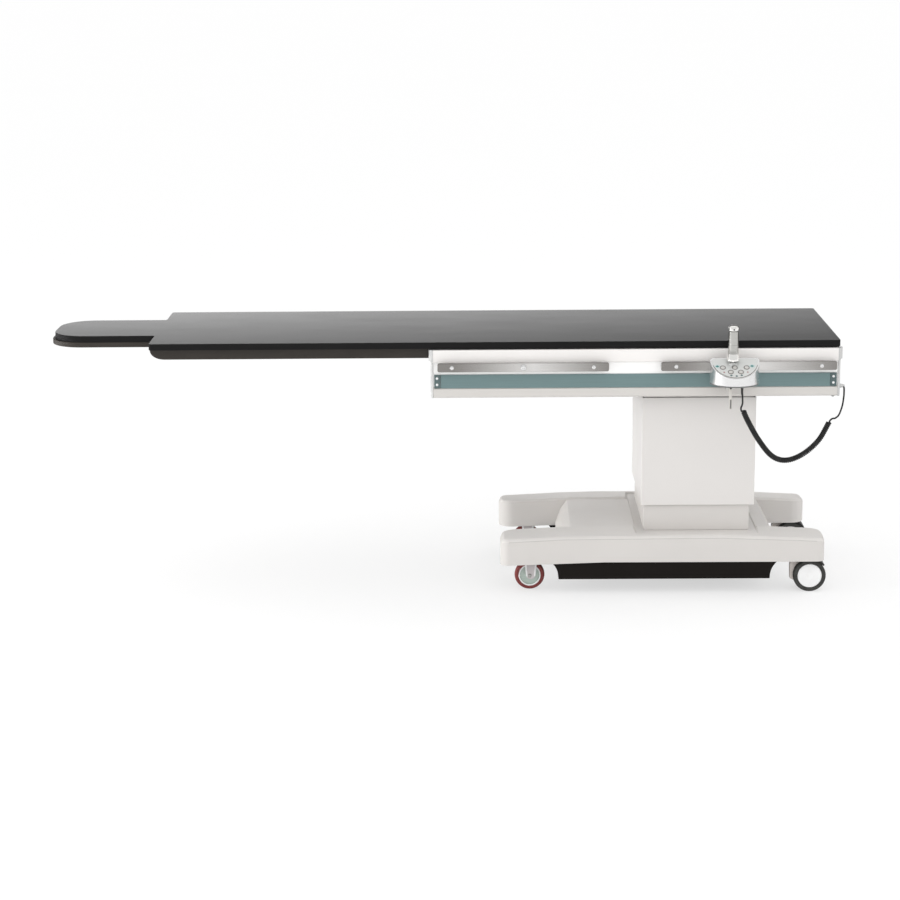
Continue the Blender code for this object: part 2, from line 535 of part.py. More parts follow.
FACE_TILT = math.atan(BOX_SLOPE)
BUTTONS = ([(BOX_X + dx, BUTTON_ROWS[0]) for dx in (-0.0368, -0.0024, 0.0317)]
           + [(BOX_X + dx, BUTTON_ROWS[1]) for dx in (-0.0154, 0.0136)])


def on_face(obj, x, y):
    """Stand a piece on the slanted face, its own +Z along the face normal."""
    tilt = Matrix.Rotation(FACE_TILT, 4, "X")
    obj.data.transform(Matrix.Translation(Vector((x, y, face_z(y)))) @ tilt)
    return obj


def face_holes(tag, stick_low):
    """Cutters for the joystick opening and the button seats."""
    cuts = [disc("stick_hole_" + tag, 0.0130, stick_low, 0.76, (*STICK, 0), steps=24)]
    return cuts + [on_face(disc("seat_%s_%d" % (tag, k), BUTTON_R + GAP, -0.0075, 0.01, (0, 0, 0), steps=20), x, y)
                   for k, (x, y) in enumerate(BUTTONS)]


EXIT = (BOX_X + 0.0176, -BOX_BACK - 0.057, BOX_LOW - 0.0040)
plan = d_plan(BOX_R, -BOX_BACK)
foot_edge = [(BOX_X + (x - BOX_X) * 0.975, -BOX_BACK + (y + BOX_BACK) * 0.975, BOX_LOW) for x, y in plan]
housing = solid("control_housing", [foot_edge, [(x, y, BOX_LOW + 0.002) for x, y in plan],
                [(x, y, face_z(y)) for x, y in plan]], "silver", 40)
combine(housing, [disc("gland", 0.0050, EXIT[2], BOX_LOW + 0.003, (EXIT[0], EXIT[1], 0), steps=16)])
combine(housing, face_holes("housing", STICK_PIVOT - 0.0058), "DIFFERENCE")
membrane_plan, membrane = d_plan(BOX_R - 0.0035, -BOX_BACK - 0.0035), (GAP, 0.0011)
panel = solid("control_panel", [[(x, y, face_z(y) + d) for x, y in membrane_plan] for d in membrane],
              "membrane_grey")
combine(panel, face_holes("panel", STICK_PIVOT - 0.0115), "DIFFERENCE")
for k, (x, y) in enumerate(BUTTONS):
    on_face(disc("panel_button_%d" % (k + 1), BUTTON_R, -0.0050, 0.0026, (0, 0, 0), steps=18, paint="button_grey",
                 edge=0.0007), x, y)

ball_r = 0.0055
ball = [(ball_r * math.sin(math.pi * k / 8), STICK_PIVOT - ball_r * math.cos(math.pi * k / 8)) for k in range(1, 8)]
turned("joystick_gimbal", [(0, STICK_PIVOT - ball_r)] + ball + [(0, STICK_PIVOT + ball_r)], (*STICK, 0), "Z", 18,
       "steel")
grip_low, flare = STICK_PIVOT + ball_r + GAP, 0.7262
socket_low = GRIP_HIGH - 0.0085
turned("joystick_grip", [(0, grip_low), (0.0055, grip_low), (0.0062, flare), (0.0170, flare),
                         (0.0178, flare + 0.0018), (0.0165, flare + 0.0078), (GRIP_R + 0.0004, flare + 0.0188),
                         (GRIP_R, flare + 0.0338), (GRIP_R, GRIP_HIGH - 0.001), (GRIP_R - 0.0008, GRIP_HIGH),
                         (STEM_R + GAP, GRIP_HIGH), (STEM_R + GAP, socket_low), (0, socket_low)],
       (*STICK, 0), "Z", 26, "silver")
cap_low, cap_r = GRIP_HIGH + 0.0025, GRIP_R + 0.0012
turned("joystick_cap", [(0, socket_low + 0.0025), (STEM_R, socket_low + 0.0025), (STEM_R, cap_low),
                        (cap_r - 0.001, cap_low), (cap_r, cap_low + 0.0013), (cap_r, cap_low + 0.0075),
                        (cap_r - 0.0010, cap_low + 0.0110), (cap_r - 0.0040, cap_low + 0.0140),
                        (cap_r - 0.0090, cap_low + 0.0157), (0, cap_low + 0.0163)], (*STICK, 0), "Z", 26, "silver")

# Clamp: a plate between box and rail with hooks over the bar, a tongue below and its lever.
clamp_x, front = (BOX_X - 0.027, BOX_X + 0.027), -RAIL_FACE
rail_back, clamp_high = front + RAIL_THICK + GAP, RAIL_HIGH + 0.009
clamp = box("rail_clamp", clamp_x, (-BOX_BACK + GAP, front - GAP), (BOX_LOW - 0.010, clamp_high), "steel")
combine(clamp, [box("hook_top", clamp_x, (front - 0.005, front + 0.015), (RAIL_HIGH + GAP, clamp_high)),
                box("hook_drop", clamp_x, (rail_back, front + 0.015), (RAIL_HIGH - 0.007, clamp_high)),
                box("hook_low", clamp_x, (front - 0.005, front + 0.014), (RAIL_LOW - 0.011, RAIL_LOW - GAP)),
                box("tongue", (clamp_x[0], BOX_X - 0.0025), (-BOX_BACK - 0.046, front - 0.004),
                    (BOX_LOW - 0.013, BOX_LOW - GAP))])
LEVER_X, LEVER_Z, LEVER_LONG = BOX_X - 0.0148, BOX_LOW - 0.0065, 0.0623
lever_low, lever_y = LEVER_Z - LEVER_LONG, -BOX_BACK - 0.0463
lever_points = arc(LEVER_X, LEVER_Z, 0.0062, 160, 20, 8) + [
    (LEVER_X + 0.0043, LEVER_Z - 0.0285), (LEVER_X + 0.0046, lever_low + 0.0018), (LEVER_X + 0.0033, lever_low),
    (LEVER_X - 0.0007, lever_low), (LEVER_X - 0.0020, lever_low + 0.0018), (LEVER_X - 0.0037, LEVER_Z - 0.0285)]
prism("clamp_lever", lever_points, lever_y - 0.0070, lever_y, "Y", "silver", 40)


# Cord: straight lead, curly part as one tube of its outer size, straight tail to the socket.

def smooth_path(points, count):
    """Catmull-Rom curve through the points, resampled evenly."""
    pts = [Vector(p) for p in points]
    pts = [pts[0] * 2 - pts[1]] + pts + [pts[-1] * 2 - pts[-2]]
    fine = []
    for a, b, c, d in zip(pts, pts[1:], pts[2:], pts[3:]):
        for k in range(24):
            t = k / 24.0
            fine.append(0.5 * ((2 * b) + (c - a) * t + (2 * a - 5 * b + 4 * c - d) * t * t
                               + (3 * b - a - 3 * c + d) * t ** 3))
    fine.append(pts[-2])
    steps = [0.0]
    for a, b in zip(fine, fine[1:]):
        steps.append(steps[-1] + (b - a).length)
    out, i = [], 0
    for k in range(count):
        want = steps[-1] * k / (count - 1)
        while i < len(steps) - 2 and steps[i + 1] < want:
            i += 1
        span = steps[i + 1] - steps[i]
        out.append(fine[i].lerp(fine[i + 1], (want - steps[i]) / span if span else 0.0))
    return out


def cord_tube(name, points, radius, count, sides):
    data = bpy.data.curves.new(name, "CURVE")
    data.dimensions = "3D"
    data.bevel_depth = radius
    data.bevel_resolution = sides
    data.use_fill_caps = True
    path = smooth_path(points, count)
    line = data.splines.new("POLY")
    line.points.add(len(path) - 1)
    for p, q in zip(line.points, path):
        p.co = (*q, 1.0)
    finish(name, data, "cord_black")


def beside(end, before, sideways, reach):
    """Point on a coil's end face, off its centre along x, and one further out."""
    along = (Vector(end) - Vector(before)).normalized()
    across = Vector((sideways, 0, 0))
    across -= across.dot(along) * along
    start = Vector(end) + across + along * 0.0004
    return start, start + along * reach


COIL = [(0.1075, -0.3650, 0.5830), (0.1242, -0.3610, 0.5493), (0.1595, -0.3520, 0.4877),
        (0.2000, -0.3410, 0.4380), (0.2428, -0.3300, 0.4225), (0.2920, -0.3190, 0.4375),
        (0.3390, -0.3080, 0.4768), (0.3720, -0.2985, 0.5320)]
join_a, away_a = beside(COIL[0], COIL[1], -0.0045, 0.0050)
join_b, away_b = beside(COIL[-1], COIL[-2], 0.0048, 0.0045)
cord_tube("cord_lead", [(EXIT[0], EXIT[1], EXIT[2] - GAP), (0.1068, -0.3650, 0.6300), (0.1066, -0.3650, 0.6100),
                        away_a, join_a], CORD_R, 14, 2)
cord_tube("cord_coil", COIL, COIL_R, 20, 3)
cord_tube("cord_tail", [join_b, away_b, (0.3880, -0.2965, 0.5400), (0.3985, -0.2940, 0.5500),
                        (0.4078, -0.2900, 0.5757), (0.4128, -0.2800, 0.6000), (0.4168, -0.2600, 0.6215),
                        (0.4150, -0.2510, 0.6262), (SOCKET[0] + 0.0069, SOCKET[1], SOCKET[2])], CORD_R, 28, 2)
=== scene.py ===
"""Looks of the catheterization table: finishes, fine detail and the curly cord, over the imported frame."""
import json
from math import atan, atan2, cos, degrees, hypot, pi, radians, sin, sqrt

import bmesh
import bpy
from mathutils import Matrix, Vector

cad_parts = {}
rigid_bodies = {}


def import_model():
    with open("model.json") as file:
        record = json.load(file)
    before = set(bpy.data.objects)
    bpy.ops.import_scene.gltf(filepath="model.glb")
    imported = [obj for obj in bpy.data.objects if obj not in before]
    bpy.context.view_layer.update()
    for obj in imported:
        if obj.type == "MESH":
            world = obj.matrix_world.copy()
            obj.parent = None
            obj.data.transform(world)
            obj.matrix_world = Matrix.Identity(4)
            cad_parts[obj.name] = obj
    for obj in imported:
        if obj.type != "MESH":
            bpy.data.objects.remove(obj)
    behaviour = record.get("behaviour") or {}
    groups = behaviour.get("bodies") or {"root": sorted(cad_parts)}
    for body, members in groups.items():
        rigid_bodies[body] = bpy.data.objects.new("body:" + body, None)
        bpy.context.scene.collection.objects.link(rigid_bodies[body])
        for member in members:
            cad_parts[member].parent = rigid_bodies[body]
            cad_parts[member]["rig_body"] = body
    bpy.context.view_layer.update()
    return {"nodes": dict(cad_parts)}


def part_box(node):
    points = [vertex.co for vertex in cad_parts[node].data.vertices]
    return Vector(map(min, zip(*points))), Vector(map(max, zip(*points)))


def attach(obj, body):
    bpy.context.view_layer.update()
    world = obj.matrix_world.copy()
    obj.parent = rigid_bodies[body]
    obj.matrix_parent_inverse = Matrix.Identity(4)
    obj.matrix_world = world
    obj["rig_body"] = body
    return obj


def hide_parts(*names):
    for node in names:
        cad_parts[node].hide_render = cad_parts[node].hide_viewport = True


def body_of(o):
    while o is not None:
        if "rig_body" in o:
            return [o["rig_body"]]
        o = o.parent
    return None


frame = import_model()

# Table coordinates: x from the column axis, y from the middle plane, z from the floor.
column_lo, column_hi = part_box("column_upper_cover")
panel_lo, panel_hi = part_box("tabletop_panel")
AXIS = Vector(((column_lo.x + column_hi.x) / 2, (panel_lo.y + panel_hi.y) / 2, 0.0))


def extent(node):
    """A node's lowest and highest corners in table coordinates."""
    lo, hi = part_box(node)
    return lo - AXIS, hi - AXIS


# Camera, fitted to the photograph.
CAMERA_AT = Vector((-0.6497, -6.7638, 1.9683)) + AXIS
CAMERA_LENS, CAMERA_DOWN, CAMERA_YAW, CAMERA_ROLL = 90.76, 13.203, 0.761, -0.504


def make_camera():
    down, yaw, roll = (radians(a) for a in (CAMERA_DOWN, CAMERA_YAW, CAMERA_ROLL))
    forward = Vector((-sin(yaw) * cos(down), cos(yaw) * cos(down), -sin(down)))
    right = Vector((cos(yaw), sin(yaw), 0.0))
    up = right.cross(forward)
    right, up = (right * cos(roll) + up * sin(roll), up * cos(roll) - right * sin(roll))
    data = bpy.data.cameras.new("photo_camera")
    data.lens, data.sensor_width = CAMERA_LENS, 36.0
    data.clip_start, data.clip_end = 0.1, 100.0
    camera = bpy.data.objects.new("photo_camera", data)
    bpy.context.scene.collection.objects.link(camera)
    camera.matrix_world = Matrix.Translation(CAMERA_AT) @ Matrix((right, up, -forward)).transposed().to_4x4()
    bpy.context.scene.camera = camera


make_camera()


# Mesh helpers. Every mesh is made in table coordinates and its object stands at AXIS.

def placed(name, data, material=None):
    obj = bpy.data.objects.new(name, data)
    bpy.context.scene.collection.objects.link(obj)
    obj.location = AXIS
    if material:
        data.materials.append(material)
    return obj


def link(name, data, body, material, replaced=()):
    """Add a piece with its finish and let it ride its body."""
    obj = placed(name, data, material)
    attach(obj, body)
    if replaced:
        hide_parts(*replaced)
    return obj


def to_mesh(name, bm, smooth=35.0):
    bmesh.ops.recalc_face_normals(bm, faces=bm.faces)
    mesh = bpy.data.meshes.new(name)
    bm.to_mesh(mesh)
    bm.free()
    mesh.shade_smooth()
    mesh.set_sharp_from_angle(angle=radians(smooth))
    return mesh


def skin(name, rings, looped=False, smooth=35.0):
    """Skin rings of equal length; capped at both ends, or closed on itself."""
    bm = bmesh.new()
    made = [[bm.verts.new(p) for p in ring] for ring in rings]
    count = len(made[0])
    for a, b in list(zip(made, made[1:])) + ([(made[-1], made[0])] if looped else []):
        for i in range(count):
            j = (i + 1) % count
            bm.faces.new((a[i], a[j], b[j], b[i]))
    if not looped:
        bm.faces.new(list(reversed(made[0])))
        bm.faces.new(made[-1])
    return to_mesh(name, bm, smooth)


def lathe(name, profile, centre=(0, 0, 0), axis="Z", steps=72, closed=False, smooth=32.0):
    """Turn (radius, height) pairs about an axis through centre."""
    bm = bmesh.new()
    shared, rows = {}, []
    for k in range(steps):
        a = 2 * pi * k / steps
        row = []
        for i, (r, h) in enumerate(profile):
            u, v = r * cos(a), r * sin(a)
            p = Vector({"Z": (u, v, h), "Y": (v, h, u), "X": (h, u, v)}[axis]) + Vector(centre)
            if r < 1e-7:
                if i not in shared:
                    shared[i] = bm.verts.new(p)
                row.append(shared[i])
            else:
                row.append(bm.verts.new(p))
        rows.append(row)
    last = len(profile) if closed else len(profile) - 1
    for k in range(steps):
        a, b = rows[k], rows[(k + 1) % steps]
        for i in range(last):
            j = (i + 1) % len(profile)
            corners = list(dict.fromkeys((a[i], a[j], b[j], b[i])))
            if len(corners) > 2:
                bm.faces.new(corners)
    return to_mesh(name, bm, smooth)


def prism(name, outline, lo, hi, axis="Z", smooth=35.0):
    def put(p, t):
        return {"Z": (p[0], p[1], t), "Y": (p[0], t, p[1]), "X": (t, p[0], p[1])}[axis]
    return skin(name, [[put(p, t) for p in outline] for t in sorted((lo, hi))], smooth=smooth)


def corners_of(x, y):
    return [(x[0], y[0]), (x[1], y[0]), (x[1], y[1]), (x[0], y[1])]


def block(name, x, y, z):
    return prism(name, corners_of(x, y), *z)


def strip(name, lines):
    """Closed bar skinned between four parallel lines of points."""
    return skin(name, [list(ring) for ring in zip(*lines)])


def oval(cx, cy, rx, ry, a0, a1, steps):
    turn = [radians(a0 + (a1 - a0) * k / steps) for k in range(steps + 1)]
    return [(cx + rx * cos(a), cy + ry * sin(a)) for a in turn]


def arc(cx, cy, r, a0, a1, steps):
    return oval(cx, cy, r, r, a0, a1, steps)


def circle(cx, cy, r, steps=96):
    return arc(cx, cy, r, 0, 360, steps)[:-1]


def mirrored(points):
    """Points of a profile on the other side of its middle, in reverse order."""
    return [(x, -y) for x, y in reversed(points)]


def rounded(points, r, steps=4):
    """Replace each corner of a closed outline by an arc-like curve of reach r."""
    out, n = [], len(points)
    for i in range(n):
        p, a, b = Vector(points[i]), Vector(points[i - 1]), Vector(points[(i + 1) % n])
        reach = min(r, (a - p).length * 0.45, (b - p).length * 0.45)
        start, end = p + (a - p).normalized() * reach, p + (b - p).normalized() * reach
        for k in range(steps + 1):
            t = k / steps
            out.append(tuple(start * (1 - t) ** 2 + p * 2 * t * (1 - t) + end * t * t))
    return out


def soften(obj, width, segments=2, angle=35.0):
    """Round the edges of a piece with real geometry."""
    mod = obj.modifiers.new("soft_edges", "BEVEL")
    mod.width, mod.segments = width, segments
    mod.limit_method, mod.angle_limit = "ANGLE", radians(angle)
    mod.harden_normals = False
    weighted = obj.modifiers.new("even_shading", "WEIGHTED_NORMAL")
    weighted.keep_sharp = True
    return obj


WELD, FLAT_ANGLE = 0.00002, 1.5


def keep_inside(obj, mesh):
    """Trim a piece of one material to what lies inside a closed mesh."""
    cutter = placed("cutter", mesh)
    bpy.context.view_layer.update()
    mod = obj.modifiers.new("cut", "BOOLEAN")
    mod.operation, mod.solver, mod.object = "INTERSECT", "EXACT", cutter
    graph = bpy.context.evaluated_depsgraph_get()
    result = bpy.data.meshes.new_from_object(obj.evaluated_get(graph))
    obj.modifiers.remove(mod)
    result.materials.clear()
    result.materials.append(obj.data.materials[0])
    obj.data = result
    bpy.data.objects.remove(cutter)


def refined(node, width, segments, material, angle=32.0):
    """A copy of a rigid CAD node with flat faces merged and its edges rounded."""
    source = frame["nodes"][node]
    bm = bmesh.new()
    bm.from_mesh(source.data)
    bmesh.ops.remove_doubles(bm, verts=bm.verts, dist=WELD)
    bmesh.ops.dissolve_limit(bm, angle_limit=radians(FLAT_ANGLE), verts=bm.verts, edges=bm.edges)
    bmesh.ops.translate(bm, verts=bm.verts, vec=-AXIS)
    mesh = to_mesh(node + "_dressed", bm, 30.0)
    obj = link(node + "_dressed", mesh, body_of(source)[0], material, [node])
    return soften(obj, width, segments, angle)


# Materials: node set-ups in metres of the piece's own object coordinates.

RANGE = ("From Min", "From Max", "To Min", "To Max")


def fill(tree, sockets, values):
    """Link or set input sockets in turn."""
    for socket, value in zip(sockets, values):
        if isinstance(value, bpy.types.NodeSocket):
            tree.links.new(value, socket)
        else:
            socket.default_value = value


def add_node(tree, kind, **values):
    """Add a shader node; each value goes to its input of that name, or else to the property."""
    made = tree.nodes.new("ShaderNode" + kind)
    for key, value in values.items():
        if key in made.inputs:
            fill(tree, [made.inputs[key]], [value])
        else:
            setattr(made, key, value)
    return made


def blend(tree, factor, a, b):
    """Mix two shaders."""
    made = add_node(tree, "MixShader")
    fill(tree, made.inputs, (factor, a, b))
    return made.outputs["Shader"]


class Finish:
    """A Principled material with helpers for its procedural maps."""

    def __init__(self, name, colour, rough=0.4, metal=0.0, coat=0.0, coat_rough=0.1, specular=0.5):
        self.material = bpy.data.materials.new(name)
        self.material.use_nodes = True
        self.tree = self.material.node_tree
        self.shader = self.tree.nodes["Principled BSDF"]
        for socket, value in {"Base Color": (*colour, 1.0), "Roughness": rough, "Metallic": metal,
                              "Coat Weight": coat, "Coat Roughness": coat_rough,
                              "Specular IOR Level": specular}.items():
            self.shader.inputs[socket].default_value = value
        self.material.diffuse_color = (*colour, 1.0)
        self.colour, self.rough = colour, rough
        self.place = self.add("TexCoord").outputs["Object"]

    def add(self, kind, **values):
        return add_node(self.tree, kind, **values)

    def along(self, axis):
        """The place on the object along one axis."""
        return self.add("SeparateXYZ", Vector=self.place).outputs[axis]

    def noise(self, scale, detail=3.0, stretch=None):
        where = self.place
        if stretch:
            where = self.add("Mapping", Vector=where, Scale=stretch).outputs["Vector"]
        made = self.add("TexNoise", Vector=where, Scale=scale, Detail=detail, Roughness=0.55)
        return made.outputs["Fac"]

    def ramp(self, value, lo, hi, to_lo=0.0, to_hi=1.0):
        limits = dict(zip(RANGE, (lo, hi, to_lo, to_hi)))
        return self.add("MapRange", Value=value, **limits).outputs["Result"]

    def math(self, operation, a, b=0.0):
        made = self.add("Math", operation=operation)
        fill(self.tree, made.inputs, (a, b))
        return made.outputs["Value"]

    def mix(self, factor, a, b):
        """Mix two colours, each a triple or a colour socket."""
        made = self.add("Mix", data_type="RGBA")
        a, b = ((*c, 1.0) if isinstance(c, tuple) else c for c in (a, b))
        fill(self.tree, (made.inputs[0], made.inputs[6], made.inputs[7]), (factor, a, b))
        return made.outputs[2]

    def set(self, socket, value):
        self.tree.links.new(value, self.shader.inputs[socket])
        return self

    def show(self, shader):
        """Let another shader be the material's surface."""
        self.tree.links.new(shader, self.tree.nodes["Material Output"].inputs["Surface"])

    def mottle(self, scale, amount, detail=3.0, stretch=None):
        """Lighter and darker patches of the own colour."""
        lo = tuple(c * (1 - amount) for c in self.colour)
        hi = tuple(min(c * (1 + amount), 1.0) for c in self.colour)
        value = self.ramp(self.noise(scale, detail, stretch), 0.3, 0.7)
        colour = self.mix(value, lo, hi)
        self.set("Base Color", colour)
        return colour

    def rounding(self, radius):
        """Normal of the surface with its edges rounded."""
        return self.add("Bevel", Radius=radius, samples=4).outputs["Normal"]

    def wear(self, base, tint, amount, radius=0.0015):
        """Edges rub lighter: where a rounded normal leaves the flat one, broken up by noise."""
        soft = self.rounding(radius)
        flat = self.add("NewGeometry").outputs["True Normal"]
        dot = self.add("VectorMath", operation="DOT_PRODUCT")
        fill(self.tree, dot.inputs, (soft, flat))
        edge = self.ramp(dot.outputs["Value"], 0.995, 0.85, 0.0, amount)
        edge = self.math("MULTIPLY", edge, self.ramp(self.noise(60.0, 4.0), 0.35, 0.6))
        lighter = tuple(min(c * tint, 1.0) for c in self.colour)
        self.set("Base Color", self.mix(edge, base, lighter))
        return self

    def patchy(self, scale, spread, detail=4.0, stretch=None):
        """Uneven sheen: roughness wanders around its value."""
        value = self.noise(scale, detail, stretch)
        return self.set("Roughness", self.ramp(value, 0.3, 0.7, self.rough - spread, self.rough + spread))

    def grain(self, scale, strength, depth=0.0004, detail=2.0, stretch=None, edge=0.0):
        """Surface grain as a bump, over edges rounded by the shader where a radius is given."""
        more = {"Normal": self.rounding(edge)} if edge else {}
        bump = self.add("Bump", Strength=strength, Distance=depth,
                        Height=self.noise(scale, detail, stretch), **more)
        return self.set("Normal", bump.outputs["Normal"])


def paint(name, colour, rough):
    """Sprayed paint: orange peel, faint patches and rubbed edges."""
    made = Finish(name, colour, rough, coat=0.15, coat_rough=0.25)
    made.wear(made.mottle(3.0, 0.012), tint=1.05, amount=0.5)
    made.patchy(9.0, 0.05).grain(420.0, 0.12, 0.0003)
    return made.material


# Top of the paler band of painted light on the white extrusion, under the rail.
PAINTED_LIGHT_TOP, TONE_STEP = 0.7045, 0.0004


def three_tone(name, upper, seat, lower, split):
    """White extrusion: a paler band of painted light from the stripe up to under the rail, where the rail's
    shade falls, and greyer below the height split.
    """
    made = Finish(name, upper, 0.38, coat=0.15, coat_rough=0.25)
    z = made.along("Z")
    # Up to the band's top, the seat colour is painted light: a paler band set against the rail's shade.
    above = made.mix(made.ramp(z, PAINTED_LIGHT_TOP - TONE_STEP, PAINTED_LIGHT_TOP + TONE_STEP), seat, made.mottle(3.0, 0.012))
    made.set("Base Color", made.mix(made.ramp(z, split - TONE_STEP, split + TONE_STEP), lower, above))
    made.patchy(9.0, 0.05).grain(420.0, 0.08, 0.0003)
    return made.material


def moulding(name, colour, rough, texture=260.0, strength=0.15, patch=0.02, edge=0.0, specular=0.5):
    """Moulded plastic with a fine spark texture."""
    made = Finish(name, colour, rough, specular=specular)
    made.mottle(6.0, patch)
    made.patchy(14.0, 0.06).grain(texture * 4, strength, 0.0003, 3.0, edge=edge)
    return made.material


def rubber(name, colour, rough=0.62):
    """Rubber: dull, dusty patches and a fine grain."""
    made = Finish(name, colour, rough, specular=0.35)
    dust = tuple(min(c * 1.5 + 0.02, 1.0) for c in colour)
    made.set("Base Color", made.mix(made.ramp(made.noise(45.0, 5.0), 0.45, 0.75, 0.0, 0.6), colour, dust))
    made.patchy(70.0, 0.10).grain(900.0, 0.25, 0.0003)
    return made.material


def brushed(name, colour, rough, along=(6.0, 700.0, 700.0), edge=0.0, metal=1.0):
    """Brushed metal: long fine lines in tone, roughness and relief."""
    made = Finish(name, colour, rough, metal=metal)
    made.mottle(1.0, 0.05, 4.0, along)
    made.patchy(1.0, 0.07, 4.0, along).grain(1.0, 0.10, 0.0002, 4.0, along, edge=edge)
    return made.material


def machined(name, colour, rough):
    """Turned or sawn metal: faint patches and a fine random tooling grain."""
    made = Finish(name, colour, rough, metal=1.0)
    made.mottle(30.0, 0.05)
    made.patchy(50.0, 0.08).grain(600.0, 0.10, 0.0002, 4.0, edge=0.0006)
    return made.material


def polished(name, colour, rough, tone=None, patches=120.0, grain=(500.0, 0.01), metal=1.0):
    """Polished or satin metal with hardly any grain."""
    made = Finish(name, colour, rough, metal=metal)
    if tone:
        made.mottle(*tone)
    made.patchy(patches, 0.03).grain(*grain, 0.0001)
    return made.material


def rail_painted_reflection(name, node):
    """Polished bar with a painted reflection: dark towards both ends and bright in the middle, with fine
    lines along it.
    """
    lo, hi = extent(node)
    dark, painted_highlight = (0.205, 0.194, 0.183), (0.69, 0.678, 0.665)
    made = Finish(name, painted_highlight, 0.30, metal=1.0)
    middle, half = lo.x + (hi.x - lo.x) * 0.56, (hi.x - lo.x) * 0.46
    # Painted reflection: the colour is bright in the middle and dark towards both ends; the dark lines
    # further down are the bar's own grain.
    away = made.ramp(made.math("ABSOLUTE", made.math("SUBTRACT", made.along("X"), middle)), 0.0, half)
    tone = made.mix(made.math("SMOOTH_MIN", away, 1.0), painted_highlight, dark)
    lines = made.ramp(made.noise(1.0, 4.0, (4.0, 900.0, 900.0)), 0.3, 0.7, 0.0, 0.12)
    made.set("Base Color", made.mix(lines, tone, dark))
    made.patchy(1.0, 0.06, 4.0, (5.0, 800.0, 800.0)).grain(1.0, 0.08, 0.0002, 4.0, (5.0, 900.0, 900.0))
    return made.material


def laminate(name, colour, rough, weave=0.0, sheen_spread=0.04, specular=0.5):
    """Black laminate: a faint fibre direction under a satin skin, with wiping marks."""
    made = Finish(name, colour, rough, specular=specular)
    made.mottle(1.0, 0.10, 3.0, (12.0, 60.0, 60.0))
    made.patchy(5.0, sheen_spread, 5.0, (1.0, 2.5, 1.0)).grain(500.0, 0.06 + weave, 0.0002, 3.0)
    return made.material


WHITE = paint("white_powder_coat", (0.722, 0.699, 0.679), 0.42)
# The second colour is painted light, paler under the rail where its shade falls.
WHITE_ALU = three_tone("white_extrusion", (0.86, 0.835, 0.815), (0.95, 0.945, 0.935), (0.62, 0.597, 0.57),
                       extent("stripe_front")[0].z + 0.004)
CAP = moulding("grey_cap_moulding", (0.56, 0.56, 0.555), 0.42, edge=0.0008)
COVER = moulding("grey_cover_moulding", (0.652, 0.628, 0.604), 0.46, 200.0, 0.12, 0.012)
BLACK = moulding("black_steel_paint", (0.0085, 0.0065, 0.0055), 0.5, 180.0, 0.2, 0.10, 0.0008, 0.12)
# Paler copies of the cover moulding: painted light for the cover's slopes and tops.
COVER_SLOPES_PAINTED_LIGHT = moulding("cover_slopes_painted_light", (0.71, 0.686, 0.662), 0.44, 200.0, 0.12, 0.012)
COVER_TOPS_PAINTED_LIGHT = moulding("cover_tops_painted_light", (0.735, 0.711, 0.687), 0.46, 200.0, 0.12, 0.012)
# Grey for the strip along each beam's parting line: the seam is real, its grey is painted shade of the
# groove.
SEAM_PAINTED_SHADE = moulding("seam_painted_shade", (0.50, 0.485, 0.465), 0.5)
STEEL = machined("bright_steel", (0.56, 0.55, 0.53), 0.30)
ALUMINIUM = brushed("anodised_aluminium", (0.68, 0.68, 0.68), 0.36, edge=0.0006)
CHROME = polished("polished_steel", (0.64, 0.635, 0.615), 0.16, (90.0, 0.02))
SKIRT_METAL = polished("polished_skirt", (0.90, 0.89, 0.865), 0.15)
GRIP_METAL = polished("satin_grip", (0.48, 0.475, 0.455), 0.24)
SILVER = polished("silver_coating", (0.74, 0.74, 0.74), 0.24, (80.0, 0.015), 60.0, (700.0, 0.015), 0.9)
TEAL = brushed("teal_strip", (0.143, 0.222, 0.226), 0.42, (8.0, 500.0, 500.0), metal=0.0)
TEAL_END = moulding("teal_end_plate", (0.085, 0.125, 0.128), 0.5, 160.0, 0.3, 0.10)
CARBON = laminate("carbon_laminate", (0.034, 0.029, 0.0245), 0.42, 0.06, specular=0.25)
PANEL = laminate("black_panel", (0.0095, 0.0090, 0.0092), 0.20, sheen_spread=0.014)
EDGE = laminate("panel_edge", (0.0085, 0.0082, 0.0084), 0.5, 0.05, specular=0.12)
RED_TYRE = rubber("red_tyre", (0.185, 0.036, 0.034), 0.5)
GREY_TYRE = rubber("grey_tyre", (0.036, 0.036, 0.033))
HUB = moulding("hub_moulding", (0.50, 0.58, 0.53), 0.35)
DISC = moulding("white_disc", (0.90, 0.90, 0.90), 0.40, patch=0.008)
CREAM = moulding("cream_housing", (0.86, 0.79, 0.74), 0.5)
MEMBRANE = moulding("membrane_film", (0.60, 0.61, 0.595), 0.38, 400.0, 0.2)
BUTTON = moulding("button_grey", (0.55, 0.54, 0.515), 0.45)
RING = moulding("button_ring", (0.15, 0.132, 0.12), 0.4)
MARK_TEAL = moulding("teal_ink", (0.040, 0.20, 0.19), 0.45)
HALO = moulding("pale_teal_ink", (0.51, 0.60, 0.59), 0.40)
MARK_RED = moulding("red_ink", (0.36, 0.19, 0.19), 0.45)
MARK_DARK = moulding("dark_ink", (0.035, 0.10, 0.105), 0.45)
# Dark grey for the rim under the control housing: painted shade of the housing's bottom edge.
DARK_RIM_PAINTED_SHADE = moulding("dark_rim_painted_shade", (0.13, 0.135, 0.135), 0.45)
LEVER = moulding("lever_grey", (0.60, 0.575, 0.54), 0.38)
SLOT = moulding("slot_grey", (0.16, 0.155, 0.15), 0.5)
CHEEK = moulding("zinc_plate", (0.60, 0.56, 0.565), 0.42)
CORD = rubber("cord_sheath", (0.012, 0.012, 0.012), 0.5)
DARK_PLASTIC = moulding("black_moulding", (0.016, 0.015, 0.014), 0.45, 300.0, 0.2, 0.08)


# Curly cord: a straight lead, a helix round the coil's line and a straight tail, one open curve.

